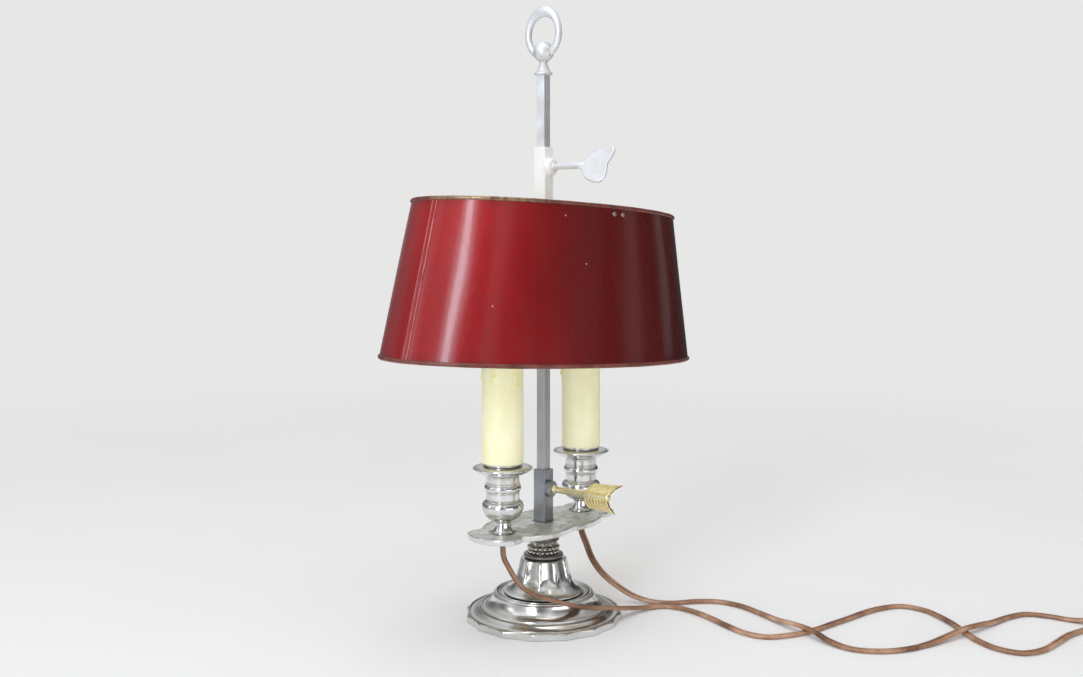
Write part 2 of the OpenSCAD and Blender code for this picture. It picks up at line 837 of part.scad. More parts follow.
left_route = [[-30.2, -37.3, 63.6], [-30, -37.3, 57], [-27, -37.8, 50], [-18, -37.8, 35.5],
    [-6, -38, 27.4], [9, -38.6, 23.2], [24, -37.4, 19.2], [40, -28.5, 15], [52, -17, 11.4],
    [62, -6, 7.8], [76, 9.5, 3.3], [92, 18.5, 1.7], [104, 16.5, 1.6], [116, 7, 1.6], [127, -8.5, 1.6],
    [137, -27, 1.6], [148, -44, 1.6], [162, -53, 1.6], [181, -49, 1.6], [201, -38, 1.6],
    [219, -23, 1.6], [236, -9, 1.6], [252, 5, 1.6], [268, 15, 1.6], [284, 19, 1.6],
    [298, 9, 1.6], [305, -8, 1.6], [309, -26, 1.6], [311, -44, 1.6], [314, -62, 1.6],
    [322, -79, 1.6], [336, -87, 1.6], [353, -80, 1.6], [369, -65, 1.6], [384, -50, 1.6],
    [400, -39, 1.7], [415, -33.6, 3.6], [426, -31.9, 5], [433, -31.8, 5]];

right_route = [[30.2, 37.3, 63.6], [30.8, 37.4, 57], [34, 38, 48], [39.5, 38.4, 34], [48, 38.6, 22],
    [60, 37.8, 12], [73, 34.5, 5], [88, 29, 2.1], [104, 27.6, 1.6], [122, 31.5, 1.6],
    [140, 31, 1.6], [156, 20, 1.6], [168, 2, 1.6], [178, -17, 2.4], [187, -33, 4.4],
    [197, -49, 4.6], [205, -64, 2.6], [217, -78, 1.6], [234, -83, 1.6], [254, -80, 1.6],
    [274, -70, 1.8], [291, -59, 3.4], [308, -47, 5.0], [324, -35, 4.2], [340, -22, 2.2],
    [356, -9, 1.6], [373, -1, 1.6], [389, -6, 1.6], [402, -15, 1.7], [415, -22, 3.6],
    [426, -24.3, 5], [433, -24.4, 5]];

supply_route = [[486.5, -28, 6.5], [493, -28, 6.5], [499, -28.4, 6], [507, -31, 4.6],
    [513.5, -37, 3.6], [517.8, -46, 3.2], [519.2, -56, 3.1], [519.5, -66, 3.1],
    [519.5, -73, 3.1], [519.5, -79, 3.1]];

coil_at = [483, -84];          // middle of the coil
coil_out = 36.5;               // outermost radius of its turns
coil_step = 6.4;               // how far each turn lies from the next
coil_low = 3.1;                // height of the lower layer
coil_turns = 5.25;
climb = 0.5;                   // the part of a turn in which the cord climbs to the upper layer
half_turns = (coil_turns - climb) / 2;

// Radius and height of the coil after u turns: spiral in below, climb, spiral out above
function coil_radius(u) = coil_out - coil_step * min(u, half_turns, coil_turns - u);
function coil_height(u) = let (t = min(1, max(0, (u - half_turns) / climb)))
    coil_low + coil_step * t * t * (3 - 2 * t);
function coil_point(u) = [coil_at.x + coil_radius(u) * cos(-360 * u),
    coil_at.y + coil_radius(u) * sin(-360 * u), coil_height(u)];

plug_z = 7;                    // height of the plug's middle above the table
tail = [[-6, 9.1], [-12, 8.4], [-18, 7.5], [-24, plug_z], [-29, plug_z]];
coil_path = concat(
    [[coil_at.x + coil_out, coil_at.y + 5, coil_low]],
    [for (i = [0:coil_turns * 24]) coil_point(i / 24)],
    [for (p = tail) [coil_at.x + p.x, coil_at.y - coil_out, p.y]]);
plug_face = [coil_at.x - 29, coil_at.y - coil_out, plug_z];

// Least gap between turns of the coil: distances from each point to those over a third of a turn on
coil_gap = min([for (i = [0:len(coil_path) - 1]) for (j = [i + 9:1:len(coil_path) - 1])
    norm(coil_path[i] - coil_path[j])]) - cord_d;

left_path = smooth(left_route, 2);
right_path = smooth(right_route, 2);
supply_path = smooth(supply_route, 2);

module left_lead() {
    echo(left_lead_length = run(left_path));
    color(flex)
        along_leads()
            skin(cord_rings(left_path, lead_w, lead_h, [0.8, 0.6, 0], 8));
}

module right_lead() {
    echo(right_lead_length = run(right_path));
    color(flex)
        along_leads()
            skin(cord_rings(right_path, lead_w, lead_h, [1, 0, 0], 8));
}

module supply_cord() {
    echo(supply_cord_length = run(supply_path));
    color(brown)
        along_leads()
            skin(cord_rings(supply_path, cord_d, cord_d, [1, 0, 0], 8));
}

module cord_coil() {
    echo(cord_coil_length = run(coil_path), least_gap = coil_gap);
    color(brown)
        along_leads()
            skin(cord_rings(coil_path, cord_d, cord_d, [1, 0, 0], 6));
}

module coil_tie() {
    reach = coil_out - coil_step * half_turns;
    color(brass)
        along_leads()
            translate([coil_at.x, coil_at.y, 0])
                rotate([0, 0, 160])
                    translate([0, 2, 0])
                        rotate([90, 0, 0])
                            linear_extrude(4)
                                difference() {
                                    translate([reach - 4, 0.05])
                                        square([coil_out - reach + 8, 12.7]);
                                    translate([reach - 3.4, 0.5])
                                        square([coil_out - reach + 6.8, 11.7]);
                                }
}

switch_at = [460, -28];        // middle of the in-line switch
switch_l = 60;
switch_w = 26;
split_z = 8;                   // where the cover meets the base
switch_top = 14.5;
pivot_z = 9.6;
rock = 9;                      // how far the rocker leans to either side

// Rounded plan of the switch, drawn in by t
module switch_plan(t = 0) {
    r = 11 - t;
    union() {
        for (x = [-1, 1])
            for (y = [-1, 1])
                translate([x * (switch_l / 2 - 11), y * (switch_w / 2 - 11)])
                    circle(r = r, $fn = 64);
        square([switch_l - 22, switch_w - 2 * t], center = true);
        square([switch_l - 2 * t, switch_w - 22], center = true);
    }
}

module at_switch() {
    along_leads()
        translate([switch_at.x, switch_at.y, 0])
            children();
}

module switch_base() {
    color(brown)
        at_switch()
            difference() {
                linear_extrude(split_z)
                    switch_plan();
                translate([0, 0, 1.6])
                    linear_extrude(split_z)
                        switch_plan(2.2);
                translate([-switch_l / 2 - 1, -6.8, 3.2])
                    cube([6, 13.6, 6]);
                translate([switch_l / 2 - 5, 0, 6.5])
                    rotate([0, 90, 0])
                        cylinder(h = 8, r = cord_d / 2 + 0.2, $fn = 48);
            }
}

module switch_cover() {
    color(brown)
        at_switch()
            difference() {
                translate([0, 0, split_z])
                    union() {
                        linear_extrude(switch_top - split_z - 1.5)
                            switch_plan();
                        translate([0, 0, switch_top - split_z - 1.5])
                            linear_extrude(1.5)
                                switch_plan(1.5);
                    }
                translate([0, 0, split_z - 1])
                    linear_extrude(switch_top - split_z - 0.8)
                        switch_plan(2.2);
                translate([-12.5, -6, 4])
                    cube([25, 12, 20]);
                translate([switch_l / 2 - 5, 0, 6.5])
                    rotate([0, 90, 0])
                        cylinder(h = 8, r = cord_d / 2 + 0.2, $fn = 48);
                for (side = [-1, 1])
                    translate([side * 22, 0, 0]) {
                        translate([0, 0, switch_top - 1])
                            cylinder(h = 3, r = 2.6, $fn = 48);
                        translate([0, 0, split_z])
                            cylinder(h = 8, r = 1.55, $fn = 32);
                    }
            }
}

// The rocker turns on two short pins. It leans to one side at rest, and its two finger faces meet
// in a shallow valley.
module switch_rocker() {
    color(dark_silver)
        at_switch()
            translate([0, 0, pivot_z])
                rotate([0, rock, 0])
                    rotate([90, 0, 0])
                        union() {
                            linear_extrude(11.4, center = true)
                                polygon(concat(
                                    [[-11.6, 6.6], [-11.6, 2.2], [-5.0, -1.5]],
                                    bend([-3.2, -4.2], [0, -6.2], [3.2, -4.2], 4),
                                    [[5.0, -1.5], [11.6, 2.2], [11.6, 6.6]],
                                    bend([9.6, 7.4], [0, 4.6], [-9.6, 7.4], 6)));
                            cylinder(h = 15, r = 1.3, center = true, $fn = 32);
                        }
}

module switch_screws() {
    color(silver)
        at_switch()
            for (side = [-1, 1])
                translate([side * 22, 0, 0])
                    difference() {
                        union() {
                            translate([0, 0, 1.6])
                                cylinder(h = switch_top - 2.6, r = 1.5, $fn = 32);
                            translate([0, 0, switch_top - 1])
                                cylinder(h = 0.8, r = 2.4, $fn = 32);
                        }
                        translate([-3, -0.35, switch_top - 0.6])
                            cube([6, 0.7, 2]);
                    }
}

plug_l = 33;
relief_l = 22;

// Everything on the plug is drawn from the face of its relief, along +X
module at_plug() {
    along_leads()
        translate(plug_face)
            rotate([0, 0, 180])
                children();
}

module plug_relief() {
    color(brown)
        at_plug()
            difference() {
                rod(0, relief_l, 3.5, 5.4);
                for (i = [0:5])
                    translate([3 + 3 * i, 0, 0])
                        rotate([0, 90, 0])
                            difference() {
                                cylinder(h = 1.1, r = 8, $fn = 48);
                                translate([0, 0, -1])
                                    cylinder(h = 4, r = 2.9 + 0.28 * i, $fn = 48);
                            }
            }
}

// Flat two-pin plug: tapered at the cord, widening to a squared face
module plug_body() {
    color(brown)
        at_plug()
            translate([relief_l, 0, -6.85])
                linear_extrude(13.7)
                    polygon(concat(
                        [[0, -7]],
                        bend([4, -8], [9, -17.6], [20, -17.6], 6),
                        bend([plug_l - 3, -17.6], [plug_l, -17.6], [plug_l, -14.6], 3),
                        bend([plug_l, 14.6], [plug_l, 17.6], [plug_l - 3, 17.6], 3),
                        bend([20, 17.6], [9, 17.6], [4, 8], 6),
                        [[0, 7]]));
}

module plug_pins() {
    color(silver)
        at_plug()
            for (side = [-1, 1])
                translate([0, side * 9.3, 0])
                    union() {
                        rod(relief_l + plug_l, relief_l + plug_l + 17.5, 2, 2);
                        rod(relief_l + plug_l + 17.5, relief_l + plug_l + 19, 2, 1.1);
                    }
}

// ---- Nodes --------------------------------------------------------------------------------

base_foot();
base_weight();
base_felt();
base_washer();
base_nut();
fluted_pedestal();
neck_ring();
leaf_collar();
neck_cap();
stem_bar();
finial_cone();
ring_finial();
tray_plate();
tray_boss();
tray_sleeve();
at_light(-1) cup();  // left_cup
at_light(1) cup();  // right_cup
at_light(-1) drip_pan();  // left_drip_pan
at_light(1) drip_pan();  // right_drip_pan
at_light(-1) candle();  // left_candle
at_light(1) candle();  // right_candle
at_light(-1) nipple();  // left_nipple
at_light(1) nipple();  // right_nipple
at_light(-1) locknut();  // left_locknut
at_light(1) locknut();  // right_locknut
at_light(-1) gland();  // left_gland
at_light(1) gland();  // right_gland
at_light(-1) lampholder();  // left_lampholder
at_light(1) lampholder();  // right_lampholder
at_light(-1) socket_shell();  // left_socket_shell
at_light(1) socket_shell();  // right_socket_shell
at_light(-1) bulb_cap();  // left_bulb_cap
at_light(1) bulb_cap();  // right_bulb_cap
at_light(-1) bulb();  // left_bulb
at_light(1) bulb();  // right_bulb
arrow_screw();
arrow_stud();
key_screw();
key_stud();
shade_shell();
shade_top_wire();
shade_bottom_wire();
shade_seams();
shade_spider();
spider_collar();
shade_sleeve();
spider_rivets();
left_lead();
right_lead();
switch_base();
switch_cover();
switch_rocker();
switch_screws();
supply_cord();
cord_coil();
coil_tie();
plug_body();
plug_relief();
plug_pins();
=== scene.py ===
# %% [markdown]
# # A candle table lamp with a painted shade
# A silver-plated base and stem, a sliding tray with two candle lights, and an oval red metal
# shade. The solids come ready made in one frame, Z up, with the origin on the table under the
# base. This script gives them their looks: a finer surface where a solid is a plain stand-in, and
# a finish with the wear that such a lamp has.

# %% Load the solids
import bmesh
import bpy
import math
import numpy as np
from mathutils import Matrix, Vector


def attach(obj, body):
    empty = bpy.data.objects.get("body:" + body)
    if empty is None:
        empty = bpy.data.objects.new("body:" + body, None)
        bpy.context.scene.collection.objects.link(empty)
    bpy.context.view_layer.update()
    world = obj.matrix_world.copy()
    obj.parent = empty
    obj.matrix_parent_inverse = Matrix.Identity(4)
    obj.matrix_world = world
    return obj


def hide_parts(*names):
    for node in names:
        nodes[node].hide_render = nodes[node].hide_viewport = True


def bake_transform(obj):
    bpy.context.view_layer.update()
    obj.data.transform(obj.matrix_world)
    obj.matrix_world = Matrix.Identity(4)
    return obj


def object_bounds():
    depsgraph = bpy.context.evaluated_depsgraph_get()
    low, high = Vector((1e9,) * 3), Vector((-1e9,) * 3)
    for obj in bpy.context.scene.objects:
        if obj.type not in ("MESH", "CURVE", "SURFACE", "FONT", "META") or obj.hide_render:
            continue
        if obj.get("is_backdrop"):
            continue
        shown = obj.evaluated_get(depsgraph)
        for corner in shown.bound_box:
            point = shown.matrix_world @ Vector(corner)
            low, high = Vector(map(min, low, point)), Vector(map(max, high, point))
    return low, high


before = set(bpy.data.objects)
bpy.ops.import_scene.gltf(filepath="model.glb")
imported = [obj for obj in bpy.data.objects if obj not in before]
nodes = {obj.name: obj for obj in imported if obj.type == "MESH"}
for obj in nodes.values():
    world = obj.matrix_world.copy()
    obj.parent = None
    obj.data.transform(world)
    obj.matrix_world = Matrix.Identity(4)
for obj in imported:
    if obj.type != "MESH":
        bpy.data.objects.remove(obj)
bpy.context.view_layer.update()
scene = bpy.context.scene

# %% [markdown]
# ## The camera
# The photograph is taken from the front left, level with the lower part of the shade. The frame
# is shifted down and the camera not tilted, so upright lines stay upright. The numbers were
# solved from the heights and widths of the parts in the picture.

# %% Camera
UPRIGHT, CAMERA_TURN = math.radians(90), math.radians(-51)
lens = bpy.data.cameras.new("view")
lens.lens, lens.sensor_width = 38.227, 36
lens.shift_x, lens.shift_y = -0.00185, -0.0817
camera = bpy.data.objects.new("view", lens)
camera.location = (-0.6926, -0.5609, 0.2835)
camera.rotation_euler = (UPRIGHT, 0, CAMERA_TURN)
scene.collection.objects.link(camera)
scene.camera = camera
print("camera", round(math.hypot(*camera.location[:2]), 3), "m from the stem")

# %% [markdown]
# ## Surfaces from grids
# Every new piece is a grid of points worked out with numpy. Rows run along the piece and columns
# round it, so the last column joins the first. Rows join up too, as on a ring, or end in a point,
# which closes the piece. Several such grids make one mesh.

# %% Angles and points
MM = 0.001
SAME_PLACE = 2e-6                     # points closer than this, in metres, become one


def round_angles(count):
    """That many angles, evenly round a circle."""
    return np.arange(count) * 2 * math.pi / count


def coords(*parts):
    """Numbers or arrays side by side as the coordinates of points."""
    return np.stack(np.broadcast_arrays(*parts), -1)


def unit(ways):
    """The same ways, each of length 1."""
    return ways / np.maximum(np.linalg.norm(ways, axis=-1, keepdims=True), 1e-9)


def clamp(value):
    """The value, kept between 0 and 1."""
    return np.clip(value, 0, 1)


# %% Grids to meshes
def grid_faces(rows, columns, ring):
    """The four corners of every face of a grid: a point, the next in its row, and the two below."""
    i = np.arange(rows if ring else rows - 1)[:, None]
    j = np.arange(columns)[None, :]
    down, across = (i + 1) % rows, (j + 1) % columns
    corners = [i * columns + j, i * columns + across, down * columns + across, down * columns + j]
    return np.stack(corners, -1).reshape(-1, 4)


def volume(points, faces):
    """Signed volume: the sum over all triangles of a . (b x c) / 6. It is negative inside out."""
    a, b, c, d = (points[faces[:, k]] for k in range(4))
    return (a * (np.cross(b, c) + np.cross(c, d))).sum() / 6


def capped(grid):
    """The grid with its first and last row drawn together to their middles, closing its ends."""
    first, last = (row.mean(0) + 0 * grid[:1] for row in (grid[0], grid[-1]))
    return np.concatenate([first, grid, last])


def shown(mesh, work, sharp):
    """The worked mesh as an object, smooth except over edges sharper than that many degrees."""
    work.to_mesh(mesh)
    work.free()
    mesh.shade_smooth()
    mesh.set_sharp_from_angle(angle=math.radians(sharp))
    piece = bpy.data.objects.new(mesh.name, mesh)
    scene.collection.objects.link(piece)
    return piece


def surface(name, *sheets, sharp=38, mark="hollow"):
    """One mesh from closed grids in millimetres. A sheet is a grid, then True if its rows form a
    ring, then what its points carry as the mark, if anything. Faces turn outward."""
    points, faces, marks, count = [], [], [], 0
    for grid, ring, *carries in sheets:
        p, f = grid.reshape(-1, 3) * MM, grid_faces(*grid.shape[:2], ring)
        points.append(p)
        faces.append((f[:, ::-1] if volume(p, f) < 0 else f) + count)
        marks.append(np.broadcast_to(carries[0] if carries else 0.0, grid.shape[:2]).ravel())
        count += len(p)
    mesh = bpy.data.meshes.new(name)
    mesh.from_pydata(np.concatenate(points).tolist(), [], np.concatenate(faces).tolist())
    layer = mesh.attributes.new(mark, "FLOAT", "POINT")
    layer.data.foreach_set("value", np.concatenate(marks).astype(np.float32))
    work = bmesh.new()
    work.from_mesh(mesh)
    bmesh.ops.remove_doubles(work, verts=work.verts, dist=SAME_PLACE)
    bmesh.ops.dissolve_degenerate(work, edges=work.edges, dist=1e-7)
    return shown(mesh, work, sharp)


def dress(piece, body, finish, *replaced):
    """Gives a piece its finish, the body it moves with, and the solids it stands for."""
    piece.data.materials.clear()
    piece.data.materials.append(finish)
    if body:
        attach(piece, body)
    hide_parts(*replaced)
    print(piece.name, len(piece.data.polygons), "faces on", body or "two bodies")
    return piece


def made(name, body, finish, replaced, *sheets, **how):
    """A surface from its sheets, dressed."""
    return dress(surface(name, *sheets, **how), body, finish, replaced)


def second_finish(piece, finish, chosen):
    """A second finish on the faces for which chosen, given their middles and normals, is true."""
    faces = piece.data.polygons
    middles, normals = np.zeros(len(faces) * 3, np.float32), np.zeros(len(faces) * 3, np.float32)
    faces.foreach_get("center", middles)
    faces.foreach_get("normal", normals)
    where = chosen(middles.reshape(-1, 3), normals.reshape(-1, 3))
    piece.data.materials.append(finish)
    faces.foreach_set("material_index", where.astype(np.int32))
    print(int(where.sum()), "faces of", piece.name, "in", finish.name)


# %% [markdown]
# ## Finishes, first their tools
# A finish is a small net of shader nodes. Patterns are read from the object's own coordinates, in
# metres, so a noise scale of 50 gives patches about 20 mm across. Only what varies over the
# surface goes through nodes; the rest is set on the shader itself.

# %% A net of nodes
class Net:
    """A net of shader nodes. Each method adds to it and gives back what the next can use."""

    def __init__(self, tree):
        self.tree = tree

    def add(self, kind, inputs=None, **settings):
        """A node of that kind. An input is a number, a colour, or an output to be linked."""
        node = self.tree.nodes.new("ShaderNode" + kind)
        for key, value in settings.items():
            setattr(node, key, value)
        for key, value in (inputs or {}).items():
            if isinstance(value, bpy.types.NodeSocket):
                self.tree.links.new(value, node.inputs[key])
            elif node.inputs[key].type == "RGBA" and len(value) == 3:
                node.inputs[key].default_value = (*value, 1)
            else:
                node.inputs[key].default_value = value
        return node

    def math(self, operation, *values, clamp=False):
        """A step of arithmetic."""
        inputs = dict(enumerate(values))
        return self.add("Math", inputs, operation=operation, use_clamp=clamp).outputs[0]

    def plus(self, a, b):
        """a + b, kept between 0 and 1."""
        return self.math("ADD", a, b, clamp=True)

    def times(self, a, b):
        """a b, kept between 0 and 1."""
        return self.math("MULTIPLY", a, b, clamp=True)

    def dot(self, a, b):
        """How far a reaches along b."""
        inputs = {0: a, 1: tuple(b)}
        return self.add("VectorMath", inputs, operation="DOT_PRODUCT").outputs["Value"]

    def ramp(self, value, *stops):
        """Colours or greys laid along a value from 0 to 1. A stop is a place and its colour."""
        node = self.add("ValToRGB", {"Fac": value})
        line = node.color_ramp.elements
        line.remove(line[1])
        line[0].position = stops[0][0]
        for k, (place, colour) in enumerate(stops):
            element = line.new(place) if k else line[0]
            element.color = (*(colour if isinstance(colour, (tuple, list)) else [colour] * 3), 1)
        return node.outputs[0]

    def mixed(self, share, a, b, way="MIX"):
        """Colour a, with colour b over it by that share."""
        return self.add("Mix", {0: share, 6: a, 7: b}, data_type="RGBA", blend_type=way).outputs[2]


# %% A finish
class Finish(Net):
    """A new material; the slot it is given is not used. Inputs of its shader that are the same all
    over are named here.
    """

    def __init__(self, name, slot=None, **plain):
        self.made = bpy.data.materials.new(name)
        self.made.use_nodes = True
        super().__init__(self.made.node_tree)
        self.shader = self.tree.nodes["Principled BSDF"]
        self.place = self.add("TexCoord").outputs["Object"]
        for key, value in plain.items():
            self.shader.inputs[key.replace("_", " ")].default_value = value

    def grain(self, scale, detail=4.0, roughness=0.55, stretch=(1, 1, 1), distortion=0.0):
        """Cloudy noise; stretch above 1 in a direction packs it closer there."""
        moved = self.add("Mapping", {"Vector": self.place, "Scale": stretch}).outputs[0]
        return self.add("TexNoise", {"Vector": moved, "Scale": scale, "Detail": detail,
                                     "Roughness": roughness, "Distortion": distortion}).outputs[0]

    def mark(self, name):
        """What the piece carries at each point under that name."""
        return self.add("Attribute", attribute_name=name).outputs["Fac"]

    def wears(self, colour, rough=None, relief=None, metal=None):
        """The finished material. Relief is a height, its strength, and its depth in metres."""
        if relief:
            relief = dict(zip(("Height", "Strength", "Distance"), relief))
            relief = self.add("Bump", relief).outputs[0]
        for key, value in (("Base Color", colour), ("Roughness", rough), ("Normal", relief),
                           ("Metallic", metal)):
            if value is not None:
                self.tree.links.new(value, self.shader.inputs[key])
        print("finish", self.made.name)
        return self.made


# %% Colours
def srgb(r, g, b):
    """A colour as a screen shows it, 0 to 255, turned into light."""
    c = np.array([r, g, b]) / 255
    return tuple(float(x) for x in np.where(c <= 0.04045, c / 12.92, ((c + 0.055) / 1.055) ** 2.4))


def faded(colour, share):
    """That share of a colour, and never more than 1."""
    return [min(1.0, share * x) for x in colour]


# %% [markdown]
# ## The flat leads
# Each light has a flat twin lead, about 5 mm wide, with a groove down the middle of either side.
# It hangs from under the tray, swings past the base and runs along the table in loose curves. A
# figure-of-eight section is carried along a curve through fixed points. A curve object with a
# bevel could do it too, but the grid keeps the flat side down on the table.

# %% Routes
ALONG = np.array([0.6293204, -0.7771460, 0.0])     # the way the leads run off
ACROSS = np.array([0.7771460, 0.6293204, 0.0])     # to the far side of that way
ON_TABLE = 1.6                                     # the height of a lead that lies on the table

left_route = [
    [-30.2, -37.3, 69.6], [-30.1, -37.3, 62], [-29.6, -37.35, 56], [-27, -37.8, 50],
    [-18, -37.8, 35.5], [-6, -38, 27.4], [9, -38.6, 23.2], [24, -37.4, 19.2], [40, -28.5, 15],
    [52, -17, 11.4], [62, -6, 7.8], [76, 9.5, 3.3], [92, 18.5, 1.7], [104, 16.5], [116, 7],
    [127, -8.5], [137, -27], [148, -44], [162, -53], [181, -49], [201, -38], [219, -23],
    [236, -9], [252, 5], [268, 15], [284, 19], [298, 9], [305, -8], [309, -26], [311, -44],
    [314, -62], [322, -79], [336, -87], [353, -80], [369, -65], [384, -50], [400, -39, 1.7],
    [415, -33.6, 3.6], [426, -31.9, 5], [433, -31.8, 5]]
right_route = [
    [30.2, 37.3, 69.6], [30.4, 37.3, 62], [31, 37.4, 56], [34, 38, 48], [39.5, 38.4, 34],
    [48, 38.6, 22], [60, 37.8, 12], [73, 34.5, 5], [88, 29, 2.1], [104, 27.6], [122, 31.5],
    [140, 31], [156, 20], [168, 2], [178, -17, 2.4], [187, -33, 4.4], [197, -49, 4.6],
    [205, -64, 2.6], [217, -78], [234, -83], [254, -80], [274, -70, 1.8], [291, -59, 3.4],
    [308, -47, 5.0], [324, -35, 4.2], [340, -22, 2.2], [356, -9], [373, -1], [389, -6],
    [402, -15, 1.7], [415, -22, 3.6], [426, -24.3, 5], [433, -24.4, 5]]


def on_table(route):
    """Points given along, across and up, moved into the lamp's own frame. Up may be left out."""
    p = np.array([(*q, ON_TABLE)[:3] for q in route], float)
    return p[:, :1] * ALONG + p[:, 1:2] * ACROSS + p[:, 2:] * np.array([0, 0, 1.0])


def smooth(points, steps):
    """A curve through all the points. Between b and c, with a before and d after, it is
    b + ((c-a) t + (2a-5b+4c-d) t^2 + (3b-a-3c+d) t^3) / 2."""
    p = np.array(points, float)
    a, b, c, d = np.vstack([p[:1], p[:-2]]), p[:-1], p[1:], np.vstack([p[2:], p[-1:]])
    t = (np.arange(steps) / steps)[None, :, None]
    a, b, c, d = (q[:, None, :] for q in (a, b, c, d))
    bent = (c - a) * t + (2 * a - 5 * b + 4 * c - d) * t ** 2 + (3 * b - a - 3 * c + d) * t ** 3
    return np.vstack([(b + 0.5 * bent).reshape(-1, 3), p[-1:]])


def long(line):
    """The length of a line through points, in metres."""
    return float(np.linalg.norm(np.diff(line, axis=0), axis=1).sum()) * MM


print(len(left_route), "and", len(right_route), "points on the two routes")

# %% Carrying a section along a route
def carried(line, section, hang):
    """At each point the section's x lies level and square to the route, and its y lies over it:
    point = route + x side + y over. Where the route hangs, the flat side faces the way hang
    points. The two ends are closed."""
    heading = unit(np.gradient(line, axis=0))
    steep = np.abs(heading[:, 2:])
    up = np.array([0, 0, 1.0]) * (1 - steep) + steep * np.array(hang, float)
    side = unit(np.cross(heading, up))
    over = np.cross(side, heading)
    return capped(line[:, None, :] + section[None, :, :1] * side[:, None, :]
                  + section[None, :, 1:] * over[:, None, :])


CORE_AT, CORE_R, VALLEY = 1.15, 1.45, 0.88         # the twin section's two cores and its groove
turn = np.radians(np.linspace(-142.5, 142.5, 14)[1:-1])
core = coords(CORE_AT + CORE_R * np.cos(turn), CORE_R * np.sin(turn))
twin = np.vstack([[[0, -VALLEY]], core, [[0, VALLEY]], -core])
hang_left, hang_right = ALONG * 0.8 + ACROSS * 0.6, ALONG * 0.35 - ACROSS * 0.94
left_line, right_line = smooth(on_table(left_route), 8), smooth(on_table(right_route), 8)
print("leads", round(long(left_line), 3), "and", round(long(right_line), 3), "m long")

# %% [markdown]
# The finish of the leads is old tan plastic: warm brown, with painted shade that makes it darker
# by the lamp, paler and pinker further off, a little grime in the groove and a soft shine.

# %% Finish of the leads
def flex_finish(name, slot, deep, plain, pale, shine):
    """Old flex in three tones, of that roughness and up to 0.16 more."""
    net = Finish(name, slot, Coat_Weight=0.12, Coat_Roughness=0.25)
    tone = net.ramp(net.grain(38, 5), (0.32, deep), (0.5, plain), (0.68, pale))
    dirt = net.times(net.mark("groove"), net.ramp(net.grain(90), (0.35, 0.25), (0.65, 1.0)))
    # painted shade: the leads are coloured darker near the lamp
    near = net.ramp(net.times(net.dot(net.place, ALONG), 5.0), (0.10, 0.45), (0.60, 0.0))
    return net.wears(
        net.mixed(dirt, net.mixed(near, tone, deep), faded(deep, 0.35)),
        net.ramp(net.grain(260, 3), (0.3, shine), (0.7, shine + 0.16)),
        (net.grain(700, 3), 0.12, 0.0006))


tan_flex = flex_finish(
    "tan_flex", "flex", srgb(98, 64, 42), srgb(154, 112, 84), srgb(196, 156, 128), 0.24)
brown_flex = flex_finish(
    "brown_flex", "supply_flex", srgb(62, 44, 34), srgb(88, 64, 48), srgb(108, 82, 64), 0.34)

# %% The two leads
groove = np.exp(-(twin[:, 0] / 0.55) ** 2)[None, :]
for name, node, line, hang in (("left_twin_lead", "left_lead", left_line, hang_left),
                               ("right_twin_lead", "right_lead", right_line, hang_right)):
    lead = made(name, None, tan_flex, node, (carried(line, twin, hang), False, groove),
                sharp=70, mark="groove")
    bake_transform(lead)
lowest = min(left_line[:, 2].min(), right_line[:, 2].min()) - CORE_R
print("two leads, lowest point", round(lowest, 2), "mm")

# %% [markdown]
# ## The supply cord and its coil
# Past the in-line switch a round cord takes over. Its spare length is wound into a flat coil of
# two layers, held by a band, with the plug beside it. In the spiral the radius shrinks a cord's
# width a turn, the cord climbs one layer, and the radius grows again.

# %% Route of the supply cord
supply_route = [
    [486.5, -28, 6.5], [493, -28, 6.5], [499, -28.4, 6], [507, -31, 4.6], [513.5, -37, 3.6],
    [517.8, -46, 3.2], [519.2, -56, 3.1], [519.5, -66, 3.1], [519.5, -73, 3.1], [519.5, -79, 3.1]]
COIL, COIL_OUT, STEP, TURNS, CLIMB, LAYER = (483.0, -84.0), 36.5, 6.4, 5.25, 0.5, 3.1
half = (TURNS - CLIMB) / 2
u = np.arange(0, TURNS + 1e-9, 1 / 48)
radius = COIL_OUT - STEP * np.minimum(np.minimum(u, half), TURNS - u)
t = clamp((u - half) / CLIMB)
round_it = -2 * math.pi * u
spiral = coords(COIL[0] + radius * np.cos(round_it), COIL[1] + radius * np.sin(round_it),
                LAYER + STEP * t * t * (3 - 2 * t))
tail = [[COIL[0] + x, COIL[1] - COIL_OUT, z]
        for x, z in ((-6, 9.1), (-12, 8.4), (-18, 7.5), (-24, 7), (-29, 7))]
run_in, run_out = smooth(supply_route, 6)[:-1], smooth([spiral[-1].tolist()] + tail, 6)[1:]
supply_line = on_table(np.vstack([run_in, spiral, run_out]))
print("supply cord", round(long(supply_line), 3), "m long")

# %% The supply cord
turn = round_angles(14)
round_section = 2.5 * coords(np.cos(turn), np.sin(turn))
supply = surface("supply_lead", (carried(supply_line, round_section, ALONG), False), sharp=70)
dress(supply, "base", brown_flex, "supply_cord", "cord_coil")

# %% [markdown]
# ## Moulded and machined pieces
# The switch, the plug, the square bar, the sleeves and the brackets already have their shapes as
# solids. What a solid lacks is the small radius that every real edge has and that catches the
# light. So each is copied, its loose triangles are merged into clean faces, and a bevel a few
# tenths of a millimetre wide goes round its edges.

# %% Copies with eased edges
EDGE_ANGLE = 32                                    # from here on, in degrees, an edge is rounded


